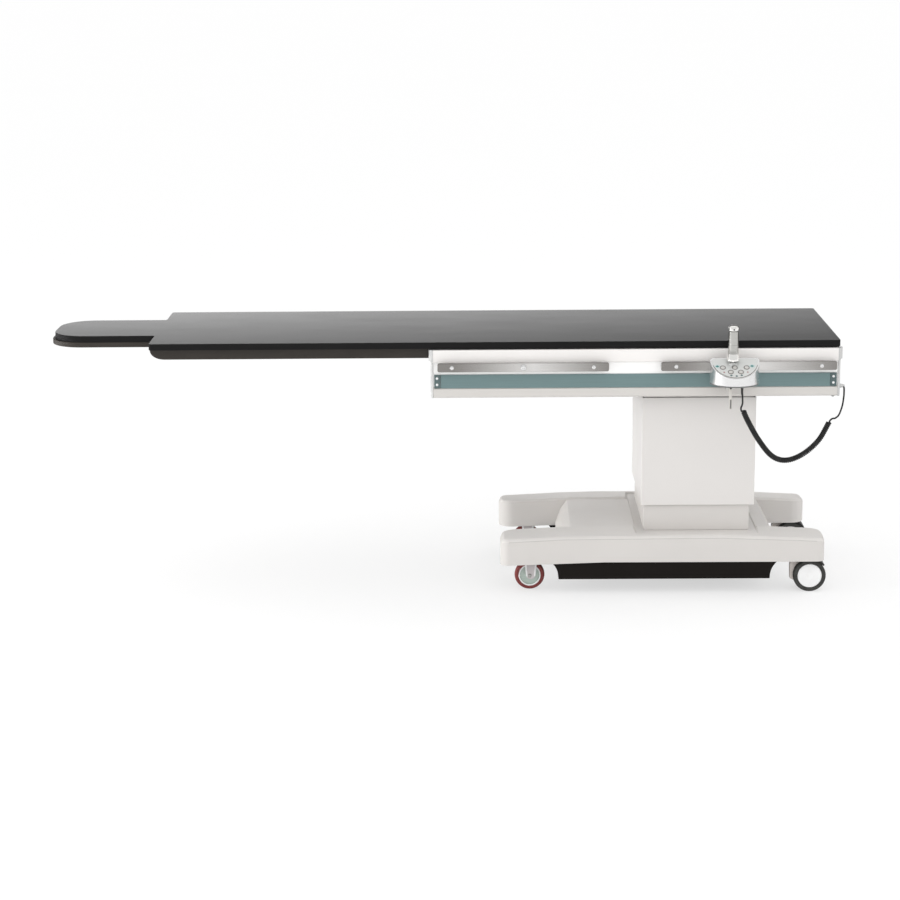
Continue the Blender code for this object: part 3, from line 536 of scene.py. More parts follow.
EXIT, SOCKET = (0.1066, -0.3650, 0.6457), (0.4094, -0.2500, 0.6265)
LEAD = [EXIT, (0.1077, -0.3650, 0.6290), (0.1086, -0.3650, 0.6090), (0.1092, -0.3650, 0.5925)]
COIL = [(0.1108, -0.3645, 0.5810), (0.1242, -0.3610, 0.5493), (0.1595, -0.3520, 0.4877),
        (0.2000, -0.3410, 0.4380), (0.2428, -0.3300, 0.4225), (0.2920, -0.3190, 0.4375),
        (0.3390, -0.3080, 0.4768), (0.3720, -0.2985, 0.5320)]
TAIL = [(0.3880, -0.2965, 0.5400), (0.3985, -0.2940, 0.5500), (0.4078, -0.2900, 0.5757),
        (0.4128, -0.2800, 0.6000), (0.4152, -0.2680, 0.6100), (0.4165, -0.2590, 0.6174),
        (0.4168, -0.2548, 0.6210), (0.4158, -0.2524, 0.6237), (0.4131, -0.2506, 0.6258), SOCKET]
CORD_R, TURN_R, TURNS, TURN_STEPS, LEAN = 0.0026, 0.0058, 74, 20, 0.020
CURVE_STEPS, ROUGH_STEP = 96, 0.004


def smooth_path(points, step):
    """Catmull-Rom curve through the points, resampled evenly."""
    pts = [Vector(p) for p in points]
    pts = [pts[0] * 2 - pts[1]] + pts + [pts[-1] * 2 - pts[-2]]
    fine = []
    for a, b, c, d in zip(pts, pts[1:], pts[2:], pts[3:]):
        for k in range(CURVE_STEPS):
            t = k / CURVE_STEPS
            fine.append(0.5 * ((2 * b) + (c - a) * t + (2 * a - 5 * b + 4 * c - d) * t * t
                               + (3 * b - a - 3 * c + d) * t ** 3))
    fine.append(pts[-2])
    steps = [0.0]
    for a, b in zip(fine, fine[1:]):
        steps.append(steps[-1] + (b - a).length)
    count, out, i = max(int(steps[-1] / step), 2) + 1, [], 0
    for k in range(count):
        want = steps[-1] * k / (count - 1)
        while i < len(steps) - 2 and steps[i + 1] < want:
            i += 1
        span = steps[i + 1] - steps[i]
        out.append(fine[i].lerp(fine[i + 1], (want - steps[i]) / span if span else 0.0))
    return out


def wound(d, rate):
    """Distance round the helix after d along it: an arc of the turn's own radius leads into it."""
    reach = TURN_R * rate / hypot(1.0, rate)
    return TURN_R - sqrt(TURN_R ** 2 - min(d, reach) ** 2) + rate * max(d - reach, 0.0)


def curly(route, start, end):
    """Wind a route round itself between two distances; the straight ends lean out to the turns."""
    out, done, side = [], 0.0, Vector((-1.0, 0.0, 0.0))
    rate, middle = 2 * pi * TURN_R * TURNS / (end - start), (end - start) / 2
    for a, b in zip(route, route[1:]):
        along = (b - a).normalized()
        side = (side - side.dot(along) * along).normalized()
        other = along.cross(side)
        out_of = max(start - done, done - end, 0.0)
        lean = max(1.0 - out_of / LEAN, 0.0)
        lean = lean * lean * (3 - 2 * lean)
        d = min(max(done - start, 0.0), end - start)
        around = wound(d, rate) if d < middle else 2 * wound(middle, rate) - wound(end - start - d, rate)
        turn = around / TURN_R
        out.append(a + (side * cos(turn) + other * sin(turn)) * TURN_R * lean)
        done += (b - a).length
    return out + [route[-1]]


def length_of(path):
    return sum((b - a).length for a, b in zip(path, path[1:]))


def make_cord():
    """The whole cord as one curve, with its strain relief and plug."""
    whole = LEAD + COIL + TAIL
    rough = smooth_path(whole, ROUGH_STEP)
    nearest = [min(range(len(rough)), key=lambda i: (rough[i] - Vector(p)).length)
               for p in (COIL[0], COIL[-1])]
    start, end = (length_of(rough[:i + 1]) for i in nearest)
    path = curly(smooth_path(whole, (end - start) / (TURNS * TURN_STEPS)), start, end)
    data = bpy.data.curves.new("curly_cord", "CURVE")
    data.dimensions = "3D"
    data.bevel_depth, data.bevel_resolution, data.use_fill_caps = CORD_R, 3, True
    line = data.splines.new("POLY")
    line.points.add(len(path) - 1)
    for point, place in zip(line.points, path):
        point.co = (*place, 1.0)
    cord = link("curly_cord", data, "top_frame", CORD, ["cord_lead", "cord_coil", "cord_tail"])
    relief = lathe("strain_relief", [(0, 0.0005), (0.0040, 0.0005), (0.0041, -0.003), (0.0036, -0.006),
                                     (0.0037, -0.0075), (0.0033, -0.0105), (0.0034, -0.012), (0.0030, -0.016),
                                     (0.0027, -0.021), (0.0, -0.021)], EXIT, smooth=50)
    relief = link("cord_strain_relief", relief, "top_frame", DARK_PLASTIC)
    plug = lathe("plug", [(0, -0.0065), (0.0060, -0.0065), (0.0062, 0.0), (0.0050, 0.0012), (0.0042, 0.0075),
                          (0.0030, 0.0095), (0, 0.0095)], SOCKET, "X", smooth=50)
    plug = link("cord_plug", plug, "top_frame", CAP, ["cord_socket"])


make_cord()


# Sliding top.

def make_top():
    panel = refined("tabletop_panel", 0.0009, 3, PANEL)
    panel.data.materials.append(EDGE)
    for face in panel.data.polygons:
        face.material_index = int(abs(face.normal.z) < 0.5)
    refined("tabletop_board", 0.0012, 2, CARBON)
    for side in ("front", "rear"):
        refined("guide_rail_" + side, 0.0010, 2, STEEL)


make_top()


# Top frame: extrusions, teal stripes with screwed end plates, end caps and accessory rails.

SCREW_STEPS = 24


def screw(name, centre, r, height, out, body="top_frame", material=STEEL, slot="stainless"):
    """Domed socket screw along y; out is the side that it faces."""
    hex_r, floor = r * 0.48, height * 0.45
    rows = [(r, 0.0), (r, height * 0.35), (r * 0.93, height * 0.65), (r * 0.75, height * 0.88),
            (r * 0.58, height), (hex_r, height), (hex_r, floor)]
    rings = []
    for q, h in rows:
        ring = []
        for k in range(SCREW_STEPS):
            a = 2 * pi * k / SCREW_STEPS
            q_here = q
            if q <= hex_r:
                # The socket is a hexagon: its radius grows towards the six corners.
                q_here *= cos(pi / 6) / cos((a + pi / 6) % (pi / 3) - pi / 6)
            ring.append(Vector((q_here * cos(a), out * h, q_here * sin(a))) + Vector(centre))
        rings.append(ring)
    return link(name, skin(name, rings, smooth=40.0), body, material)


END_PLATE = 0.019


def make_stripe(side, s):
    """Teal strip with a plate and two screws at each end."""
    lo, hi = extent("stripe_" + side)
    inner, face = sorted((abs(lo.y), abs(hi.y)))
    middle = block("stripe_" + side, (lo.x + END_PLATE + 0.0004, hi.x - END_PLATE - 0.0004),
                   sorted((s * inner, s * face)), (lo.z, hi.z))
    soften(link("teal_stripe_" + side, middle, "top_frame", TEAL, ["stripe_" + side]), 0.0005)
    for tag, x0, share in (("head", lo.x, 0.42), ("foot", hi.x - END_PLATE, 0.50)):
        plate = block("plate", (x0, x0 + END_PLATE), sorted((s * inner, s * (face + 0.0006))), (lo.z, hi.z))
        soften(link(f"stripe_plate_{side}_{tag}", plate, "top_frame", TEAL_END), 0.0008)
        for k, up in enumerate((0.27, 0.73)):
            centre = (x0 + END_PLATE * share, s * (face + 0.0004), lo.z + (hi.z - lo.z) * up)
            screw(f"stripe_screw_{side}_{tag}_{k}", centre, 0.0036, 0.0022, s, material=DISC)


# Posts along each rail, from its head end.
RAIL_POSTS = {"front_head": (0.0418, 0.2498, 0.4536), "front_foot": (0.0435, 0.2707, 0.4644),
              "rear": (0.0418, 0.4536, 0.8300, 1.1137)}
RAIL_DEEP, RAIL_CORNER, POST_R = 0.010, 0.006, 0.0076
RAIL_SCREW, RAIL_KNOB = (0.0062, 0.0030), (0.0092, 0.0060)


def make_rail(tag, s):
    """Bar with rounded ends on turned spacers, held by domed screws; one of them is a larger knob."""
    node = "accessory_rail_" + tag
    lo, hi = extent(node)
    back, face = sorted((abs(lo.y), abs(hi.y)))
    outline = rounded(corners_of((lo.x, hi.x), (lo.z, hi.z)), RAIL_CORNER, 6)
    rear, middle = face - RAIL_DEEP, (lo.z + hi.z) / 2
    bar = prism(node, outline, s * rear, s * face, "Y")
    # The bar's finish carries a painted reflection along its length.
    metal = rail_painted_reflection("rail_painted_reflection_" + tag, node)
    soften(link("rail_bar_" + tag, bar, "top_frame", metal, [node]), 0.0016, 3)
    profile = [(0.0, s * back), (POST_R, s * back), (POST_R, s * rear), (0.0, s * rear)]
    for k, at in enumerate(RAIL_POSTS[tag]):
        x = lo.x + at
        post = lathe("post", profile, (x, 0, middle), "Y", 36)
        link(f"rail_post_{tag}_{k}", post, "top_frame", STEEL)
        size = RAIL_KNOB if (tag, k) == ("front_head", 1) else RAIL_SCREW
        screw(f"rail_screw_{tag}_{k}", (x, s * face, middle), *size, s, material=SILVER)


LIP_PROUD, LIP_LOW = 0.007, 0.7062


def make_fascia(side, s):
    """Extruded skin: a proud upper lip that runs down behind the rail, the stripe's seat and a low strip."""
    lo, hi = extent("fascia_" + side)
    stripe = extent("stripe_" + side)
    inner, lip = sorted((abs(lo.y), abs(hi.y)))
    seat, low_strip = lip - LIP_PROUD, lip - LIP_PROUD + 0.0027
    section = [(inner, lo.z), (seat - 0.006, lo.z), (seat, lo.z + 0.0025), (low_strip, lo.z + 0.007),
               (low_strip, stripe[0].z - 0.0025), (seat, stripe[0].z - 0.001), (seat, LIP_LOW - 0.0026),
               (lip - 0.0015, LIP_LOW), (lip, LIP_LOW + 0.0014), (lip, hi.z - 0.0045),
               (lip - 0.0008, hi.z - 0.0018), (lip - 0.0026, hi.z - 0.0003), (lip - 0.005, hi.z),
               (inner, hi.z)]
    mesh = prism("fascia", [(s * y, z) for y, z in section], lo.x, hi.x, "X", 40.0)
    soften(link("fascia_skin_" + side, mesh, "top_frame", WHITE_ALU, ["fascia_" + side]), 0.0005)


def make_frame():
    for side, s in (("front", -1), ("rear", 1)):
        make_fascia(side, s)
        refined("side_member_" + side, 0.0010, 2, ALUMINIUM)
        make_stripe(side, s)
    for tag in ("head", "foot"):
        refined("end_cap_" + tag, 0.0012, 2, CAP)
        refined("end_member_" + tag, 0.0010, 2, ALUMINIUM)
        refined("pivot_member_" + tag, 0.0010, 2, ALUMINIUM)
    for tag, s in (("front_head", -1), ("front_foot", -1), ("rear", 1)):
        make_rail(tag, s)
    fascia_lo, fascia_hi = extent("fascia_front")
    for s in (-1, 1):
        foot = lathe("stud", [(0, 0.0), (0.0042, 0.0), (0.0042, -0.0016), (0.0030, -0.0032), (0, -0.0036)],
                     (fascia_hi.x - 0.0115, s * (abs(fascia_lo.y) - 0.0120), fascia_lo.z + 0.0004))
        link("fascia_stud_" + ("front" if s < 0 else "rear"), foot, "top_frame", CAP)


make_frame()


# Column and base.

def make_column():
    refined("column_upper_cover", 0.0016, 3, WHITE)
    refined("column_lower_cover", 0.0016, 3, COVER)
    refined("guide_column_outer", 0.0012, 2, STEEL)
    refined("guide_column_inner", 0.0012, 2, ALUMINIUM)
    refined("column_head", 0.0012, 2, BLACK)
    refined("tilt_saddle", 0.0012, 2, STEEL)
    refined("tilt_pin", 0.0008, 2, STEEL)
    lo, hi = extent("column_upper_cover")
    inset, wall, top = 0.005, 0.0025, hi.z + 0.0125

    def ring(g, z):
        return [(x, y, z) for x, y in rounded(corners_of((lo.x + g, hi.x - g), (lo.y + g, hi.y - g)), 0.006)]

    collar = skin("column_collar", [ring(inset, hi.z - 0.002), ring(inset, top), ring(inset + wall, top),
                                    ring(inset + wall, hi.z - 0.002)], looped=True)
    soften(link("column_collar", collar, "lift_column", WHITE), 0.0006)


SEAM_LOW, SEAM = 0.14, ((-0.0010, 0.0), (0.0004, 0.0), (0.0004, -0.0013), (-0.0010, -0.0013))


def make_base():
    """Cover with paler copies of its moulding on the slopes and tops, painted light by which way each face
    points, and a seam along each beam whose grey is painted shade of its groove, over the chassis.
    """
    cover = refined("base_cover", 0.0016, 3, COVER, 24.0)
    cover.data.materials.append(COVER_SLOPES_PAINTED_LIGHT)
    cover.data.materials.append(COVER_TOPS_PAINTED_LIGHT)
    # Faces that slope up towards the front or back, and faces that point up, get the paler copies: painted
    # light by the way each face points.
    for face in cover.data.polygons:
        if face.normal.z > 0.4 and abs(face.normal.y) > 0.4:
            face.material_index = 1
        elif face.normal.z > 0.85:
            face.material_index = 2
    half = max(abs(v.co.y) for v in cover.data.vertices)
    for side, s in (("front", -1), ("rear", 1)):
        edge = {}
        for v in cover.data.vertices:
            if abs(v.co.y - s * half) < 0.0004:
                edge[round(v.co.x, 4)] = max(edge.get(round(v.co.x, 4), 0.0), v.co.z)
        line = [(x, z) for x, z in sorted(edge.items()) if z > SEAM_LOW]
        bar = [[(x, s * (half + dy), z + dz) for x, z in line] for dy, dz in SEAM]
        # The seam strip's grey is painted shade of the parting line's groove.
        link("base_seam_" + side, strip("seam", bar), "base", SEAM_PAINTED_SHADE)
    refined("chassis", 0.0015, 2, BLACK)


make_column()
make_base()


# Casters.

def make_fork_caster(tag):
    """Single wheel with a red tyre in a bent steel fork."""
    lo, hi = extent("caster_tyre_head_" + tag)
    centre = (lo + hi) / 2
    r, half = (hi.z - lo.z) / 2, (hi.y - lo.y) / 2
    rim = r - 0.0120
    wheel = "wheel_head_" + tag
    shoulder = [(rim, half - 0.0004), (rim + 0.002, half), (r - 0.0045, half + 0.0002)]
    crown = oval(r - half * 0.62, 0.0, half * 0.62, half * 0.98, 70, -70, 10)
    tyre = lathe("tyre", shoulder + crown + mirrored(shoulder), centre, "Y", 96, True, 50)
    link("tyre_head_" + tag, tyre, wheel, RED_TYRE, ["caster_tyre_head_" + tag])
    web = [(0.0043, 0.0138), (0.0115, 0.0138), (0.0128, 0.0125), (0.0135, 0.0090), (rim - 0.0052, 0.0072),
           (rim - 0.0036, half + 0.0004), (rim - 0.0004, half)]
    hub = lathe("hub", web + mirrored(web), centre, "Y", 96, True, 34)
    link("hub_head_" + tag, hub, wheel, HUB, ["caster_hub_head_" + tag])
    for s, side in ((-1, "near"), (1, "far")):
        profile = [(rim - 0.0040, half + 0.0003), (rim - 0.0034, half + 0.0010),
                   (rim - 0.0006, half + 0.0010), (rim - 0.0001, half + 0.0003)]
        ring = lathe("ring", [(q, s * h) for q, h in profile], centre, "Y", 96, True)
        link(f"hub_ring_{tag}_{side}", ring, wheel, DISC)


# Half width of the cheek and height over the axle.
FORK_SHIFT, RIDGE = 0.0035, 0.70
FORK_SIDE = [(0.0185, 0.0440), (0.0176, 0.0350), (0.0152, 0.0100), (0.0135, -0.0020), (0.0090, -0.0085),
             (0.0030, -0.0110)]


def make_fork(tag):
    """Fork: top plate, bearing, cheeks with folded edges and an axle with a nut."""
    refined("caster_fork_head_" + tag, 0.0006, 2, STEEL, 40.0)
    lo, hi = extent("caster_tyre_head_" + tag)
    centre = (lo + hi) / 2
    swivel = "swivel_head_" + tag

    def plate(name, shares, line, near, far, material):
        """Plate between two shares of the cheek's half width."""
        left, right = ([(centre.x + FORK_SHIFT + q * w, centre.z + h) for w, h in line] for q in shares)
        mesh = prism(name, left + right[::-1], centre.y + near, centre.y + far, "Y")
        soften(link(name, mesh, swivel, material), 0.0006)

    for s, side in ((-1, "near"), (1, "far")):
        plate(f"fork_cheek_{tag}_{side}", (-1.0, 1.0), FORK_SIDE, s * 0.0166, s * 0.0180, CHEEK)
        for k, shares in enumerate(((-1.0, -RIDGE), (RIDGE, 1.0))):
            name = f"cheek_ridge_{tag}_{side}_{k}"
            plate(name, shares, FORK_SIDE[:4], s * 0.0175, s * 0.0190, DISC)
        screw(f"axle_nut_{tag}_{side}", (centre.x, centre.y + s * 0.0178, centre.z), 0.0062, 0.0034, s,
              swivel, CHROME, "steel")


TREAD_EDGE = 0.0042
BRAKE_HALF, BRAKE_ARM, BRAKE_ARM_HALF = 0.0345, (0.002, 0.036), 0.0095


def make_twin_caster(tag):
    """Twin wheels with white discs and a moulded housing between them."""
    wheel = "wheel_foot_" + tag
    near_lo, near_hi = extent(f"caster_tyre_foot_{tag}_near")
    far_lo, far_hi = extent(f"caster_tyre_foot_{tag}_far")
    lo, hi = Vector(map(min, near_lo, far_lo)), Vector(map(max, near_hi, far_hi))
    centre, r = (lo + hi) / 2, (hi.z - lo.z) / 2
    outer, inner, rim = (hi.y - lo.y) / 2, 0.0150, r - 0.0123
    profile = [(rim + 0.0003, inner), (rim + 0.0003, outer - 0.0004), (rim + 0.0012, outer)]
    profile += arc(r - TREAD_EDGE, outer - TREAD_EDGE, TREAD_EDGE, 90, 0, 6)
    profile += arc(r - TREAD_EDGE, inner + TREAD_EDGE, TREAD_EDGE, 0, -90, 6)
    for part, s in (("near", -1), ("far", 1)):
        tyre = lathe("tyre", [(q, s * h) for q, h in profile], centre, "Y", 96, True, 45)
        link(f"tyre_foot_{tag}_{part}", tyre, wheel, GREY_TYRE,
             [f"caster_tyre_foot_{tag}_{part}"])
    bore = 0.0060
    half = [(bore, 0.0), (bore, 0.0130), (0.0100, inner), (rim, inner), (rim, outer - 0.0022),
            (rim - 0.0012, outer - 0.0004), (rim - 0.0034, outer + 0.0002), (rim - 0.0046, outer - 0.0006),
            (rim * 0.55, outer + 0.0002), (0.0105, outer + 0.0008), (0.0098, outer + 0.0002),
            (0.0, outer + 0.0002)]
    disc = lathe("disc", mirrored(half) + half[1:], centre, "Y", 96, False, 30)
    link("discs_foot_" + tag, disc, wheel, DISC, ["caster_disc_foot_" + tag])
    refined("caster_housing_foot_" + tag, 0.0016, 3, CREAM, 40.0)
    lug = arc(centre.x, centre.z, r + 0.0064, 36, 60, 6) + arc(centre.x, centre.z, r + 0.0012, 60, 36, 6)
    lug = prism("brake", lug, centre.y - BRAKE_HALF, centre.y + BRAKE_HALF, "Y")
    soften(link("brake_pedal_" + tag, lug, "swivel_foot_" + tag, DARK_PLASTIC), 0.0010)
    arm = [(centre.x + x, centre.z + r - drop) for x, drop in
           ((BRAKE_ARM[0], 0.0200), (BRAKE_ARM[0], 0.0090), (BRAKE_ARM[1], 0.0100), (BRAKE_ARM[1], 0.0195))]
    arm = prism("arm", arm, centre.y - BRAKE_ARM_HALF, centre.y + BRAKE_ARM_HALF, "Y")
    soften(link("brake_arm_" + tag, arm, "swivel_foot_" + tag, DARK_PLASTIC), 0.0008)


for place in ("front", "rear"):
    make_fork_caster(place)
    make_fork(place)
    make_twin_caster(place)


# Hand control.

box_lo, box_hi = extent("control_housing")
BOX_X, BOX_R = (box_lo.x + box_hi.x) / 2, (box_hi.x - box_lo.x) / 2
BOX_LOW, BOX_TOP, BOX_SLOPE, BOX_BACK = 0.650, 0.722, 0.595, 0.308
FACE_TILT = atan(BOX_SLOPE)
D_CENTRE = -BOX_BACK - 0.008
UPPER_ROW, LOWER_ROW = -BOX_BACK - 0.037, -BOX_BACK - 0.0534


def face_z(y):
    return BOX_TOP + (y + BOX_BACK) * BOX_SLOPE


def on_face(mesh, x, y, lift=0.0):
    """Turn a mesh made about the origin on to the slanted face."""
    mesh.transform(Matrix.Translation(Vector((x, y, face_z(y)))) @ Matrix.Rotation(FACE_TILT, 4, "X")
                   @ Matrix.Translation(Vector((0, 0, lift))))
    return mesh


def make_buttons():
    """Buttons with domed tops, each in a low ring."""
    for k in range(5):
        node = f"panel_button_{k + 1}"
        lo, hi = extent(node)
        x, r = (lo.x + hi.x) / 2, (hi.x - lo.x) / 2
        row = UPPER_ROW if k < 3 else LOWER_ROW
        profile = oval(0.0, 0.0020, r * 0.86, 0.0006, 90, 0, 6)
        profile += [(r - 0.0004, 0.0014), (r - 0.0003, -0.0048), (0, -0.0048)]
        button = lathe(node, profile, steps=64, smooth=40)
        link(f"button_{k + 1}", on_face(button, x, row), node, BUTTON, [node])
        ring = lathe("ring", [(r + 0.0003, 0.0011), (r + 0.0003, 0.0022), (r + 0.0006, 0.0025),
                              (r + 0.0010, 0.0022), (r + 0.0013, 0.0011)], steps=64, closed=True)
        link(f"button_ring_{k + 1}", on_face(ring, x, row), "top_frame", RING)


STICK_PIVOT, STEM_R, GRIP_R, WAIST = 0.6955, 0.0041, 0.0148, 0.7460
SKIRT_R, SKIRT_SIDE, SKIRT_REAR = 0.0190, 0.7188, 0.57
# Added radius, height over the skirt's low side, share of its slope.
SKIRT_RINGS = ((-0.0012, 0.0, 1.0), (0.0, 0.0, 1.0), (0.0003, 0.0012, 1.0), (-0.0006, 0.0070, 0.8),
               (-0.0018, 0.0140, 0.55))
CAP_R, CAP_RISE, CAP_STEM = 0.0159, 0.0078, 0.0060
BOOT_R, BOOT_OUT, BOOT_TOP, DOME_R, BALL_R = 0.0084, 0.0134, 0.7135, 0.0120, 0.0055


def hanging(x, y, radius, lift, share):
    """Ring of the skirt: it rises with the sloped face behind the stick and is level before it."""
    rise = share * SKIRT_REAR
    return [(px, py, SKIRT_SIDE + lift + rise * max(py - y, 0.0)) for px, py in circle(x, y, radius)]


def make_stick():
    """Joystick: turned grip with a flared skirt that follows the sloped face, press cap, ball and dome."""
    lo, hi = extent("joystick_grip")
    x, y = (lo.x + hi.x) / 2, (lo.y + hi.y) / 2
    shoulder, end = WAIST - 0.0140, hi.z

    def level(radius, z):
        return [(px, py, z) for px, py in circle(x, y, radius)]

    flare = [level(STEM_R, lo.z), level(STEM_R, shoulder), level(SKIRT_R - 0.0055, shoulder)]
    flare += [hanging(x, y, SKIRT_R + grow, lift, share) for grow, lift, share in SKIRT_RINGS]
    flare.append(hanging(x, y, GRIP_R + 0.0010, 0.0200, 0.25))
    link("stick_flare", skin("flare", flare, smooth=28), "joystick", SKIRT_METAL)
    rings = [flare[-1], level(GRIP_R + 0.0002, WAIST)]
    rings += [level(q, z) for q, z in (
        (GRIP_R, WAIST + 0.0040), (GRIP_R, end - 0.0400), (GRIP_R - 0.0005, end - 0.0396),
        (GRIP_R - 0.0005, end - 0.0386), (GRIP_R, end - 0.0382), (GRIP_R, end - 0.0010),
        (GRIP_R - 0.0009, end), (0.0064, end), (0.0064, end - 0.0085))]
    link("stick_grip", skin("grip", rings, smooth=28), "joystick", GRIP_METAL, ["joystick_grip"])
    cap_lo, cap_hi = extent("joystick_cap")
    low = end + 0.0025
    profile = [(0, cap_lo.z), (CAP_STEM, cap_lo.z), (CAP_STEM, low), (0.0150, low), (CAP_R, low + 0.0010)]
    profile += oval(0.0, cap_hi.z - CAP_RISE, CAP_R, CAP_RISE, 0, 90, 9)
    cap = lathe("cap", profile, (x, y, 0), steps=96, smooth=24)
    link("stick_cap", cap, "joystick_cap", SKIRT_METAL, ["joystick_cap"])
    spot = [(0, -0.0148), (0.0024, -0.0148), (0.0024, -0.0160), (0.0018, -0.0163), (0, -0.0163)]
    spot = lathe("spot", spot, (x, y, low + 0.0042), axis="Y", steps=24)
    link("stick_cap_spot", spot, "joystick_cap", BLACK)
    shell = arc(0.0, STICK_PIVOT, DOME_R, 66, 42, 6) + arc(0.0, STICK_PIVOT, DOME_R * 0.93, 42, 66, 6)
    dome = lathe("dome", shell, (x, y, 0), closed=True, smooth=50)
    link("stick_dome", dome, "joystick", MEMBRANE)
    ball = lathe("ball", arc(0.0, STICK_PIVOT, BALL_R, -90, 90, 18), (x, y, 0), steps=48, smooth=60)
    link("stick_ball", ball, "joystick_gimbal", STEEL, ["joystick_gimbal"])
    make_boot(x, y)


def make_boot(x, y):
    """Collar on the face that narrows the stick's opening; it gives way to the middle button."""
    lo, hi = extent("panel_button_2")
    cx, cy = (lo.x + hi.x) / 2 - x, (lo.y + hi.y) / 2 - y - 0.0005
    ax = (hi.x - lo.x) / 2 + 0.0021
    ay = ax * cos(FACE_TILT)

    def reach(a):
        """Distance to the button's ring along a ray, or the plate's own radius."""
        u, v = cos(a) / ax, sin(a) / ay
        p, q, c = u * u + v * v, -2 * (u * cx / ax + v * cy / ay), (cx / ax) ** 2 + (cy / ay) ** 2 - 1
        root = q * q - 4 * p * c
        hit = (-q - sqrt(root)) / (2 * p) if root > 0 else BOOT_OUT
        return min(BOOT_OUT, hit) if hit > 0 else BOOT_OUT

    def ring(lift, radius, least=0.0):
        turn = (2 * pi * k / 96 for k in range(96))
        points = [(x + radius(a) * cos(a), y + radius(a) * sin(a)) for a in turn]
        return [(px, py, max(face_z(py) + lift, least)) for px, py in points]

    rings = [ring(0.0009, reach), ring(0.0018, reach), ring(0.0021, lambda a: reach(a) - 0.0004),
             ring(0.0021, lambda a: BOOT_R + 0.0008, BOOT_TOP - 0.0005),
             ring(0.0021, lambda a: BOOT_R + 0.0003, BOOT_TOP),
             ring(0.0021, lambda a: BOOT_R, BOOT_TOP - 0.0004), ring(0.0009, lambda a: BOOT_R)]
    link("stick_boot", skin("boot", rings, looped=True), "top_frame", MEMBRANE)


def d_plan(r, back, corner=0.013):
    """Plan of the half-round box with its rear corners rounded."""
    rise = back - corner - D_CENTRE
    run = sqrt((r - corner) ** 2 - rise ** 2)
    turn = degrees(atan2(rise, run))
    return (arc(BOX_X + run, back - corner, corner, 90, turn, 8)
            + arc(BOX_X, D_CENTRE, r, turn, -180 - turn, 48)[1:]
            + arc(BOX_X - run, back - corner, corner, -180 - turn, -270, 8)[1:])


def round_rear(piece, r, back, corner, width):
    """Trim a D-shaped piece to the rounded plan and soften its edges."""
    piece.modifiers.clear()
    keep_inside(piece, prism("plan", d_plan(r, back, corner), BOX_LOW - 0.02, BOX_TOP + 0.02))
    piece.data.shade_smooth()
    piece.data.set_sharp_from_angle(angle=radians(35.0))
    soften(piece, width, 3, 40.0)


def make_box():
    """Housing, face, clamp and lever, with a dark rim under the housing as painted shade of its bottom edge,
    the line round the face and the lever's details.
    """
    housing = refined("control_housing", 0.0022, 3, SILVER, 40.0)
    round_rear(housing, BOX_R + 0.0008, 0.0008 - BOX_BACK, 0.0138, 0.0022)
    lo, hi = extent("control_panel")
    panel = refined("control_panel", 0.0004, 2, MEMBRANE, 40.0)
    round_rear(panel, (hi.x - lo.x) / 2 + 0.0004, hi.y + 0.0004, 0.0100, 0.0004)
    refined("rail_clamp", 0.0010, 2, STEEL)
    refined("clamp_lever", 0.0012, 3, LEVER, 40.0)
    # Dark rim round the housing's foot: painted shade along its bottom edge.
    plan = d_plan(BOX_R + 0.0004, -BOX_BACK - 0.0006)
    rim = [[(BOX_X + (px - BOX_X) * k, -BOX_BACK + (py + BOX_BACK) * k, BOX_LOW + z) for px, py in plan]
           for k, z in ((1.0, 0.0030), (1.0, 0.0010), (0.985, -0.0006), (0.90, -0.0006), (0.90, 0.0030))]
    link("box_rim_painted_shade", skin("rim", rim, looped=True), "top_frame", DARK_RIM_PAINTED_SHADE)
    edge = [[(px, py, face_z(py) + lift) for px, py in arc(BOX_X, D_CENTRE, BOX_R - q, -18, -162, 48)]
            for q, lift in ((0.0034, 0.0010), (0.0034, 0.0014), (0.0046, 0.0014), (0.0046, 0.0010))]
    link("membrane_line", strip("line", edge), "top_frame", RING)
    lo, hi = extent("clamp_lever")
    slot = block("slot", (BOX_X - 0.0164, BOX_X - 0.0118), (lo.y - 0.0003, lo.y + 0.001),
                 (lo.z + 0.0020, lo.z + 0.0290))
    soften(link("lever_slot", slot, "clamp_lever", SLOT), 0.0006)
    pivot = [(0, 0.0006), (0.0024, 0.0006), (0.0026, 0.0), (0.0026, -0.0016), (0.0021, -0.0022), (0, -0.0022)]
    pivot = lathe("pivot", pivot, (BOX_X - 0.0148, lo.y, BOX_LOW - 0.0065), "Y", 36)
    link("lever_pivot", pivot, "clamp_lever", DARK_PLASTIC)


INK_LIFT, INK_THICK = 0.0011, 0.00012
FIELDS = ((-0.0520, -0.3400), (0.0478, -0.3395))
DOTS = ((-0.0345, -0.3622), (0.0330, -0.3617))
POSITIONS = ((-0.0150, -0.3738), (0.0002, -0.3762), (0.0146, -0.3735))


def mark(name, place, outline, material, above=0.0):
    """A thin printed shape on the membrane."""
    lift = INK_LIFT + above
    mesh = on_face(prism(name, outline, lift, lift + INK_THICK), BOX_X + place[0], place[1])
    link(name, mesh, "top_frame", material)


def diamond(half, tall):
    return [(half, 0), (0, tall), (-half, 0), (0, -tall)]


def make_marks():
    """Teal diamonds on pale fields by the joystick, red dots and dark position marks."""
    for k, place in enumerate(FIELDS):
        mark(f"diamond_field_{k}", place, rounded(diamond(0.0112, 0.0096), 0.004), HALO)
        mark(f"diamond_{k}", place, diamond(0.0058, 0.0046), MARK_TEAL, 0.0001)
    for k, place in enumerate(DOTS):
        mark(f"red_dot_{k}", place, circle(0.0, 0.0, 0.0027, 12), MARK_RED)
    for k, place in enumerate(POSITIONS):
        mark(f"position_mark_{k}", place, diamond(0.0040, 0.0034), MARK_DARK, 0.0002)


make_box()
make_buttons()
make_stick()
make_marks()


# Stage and light.

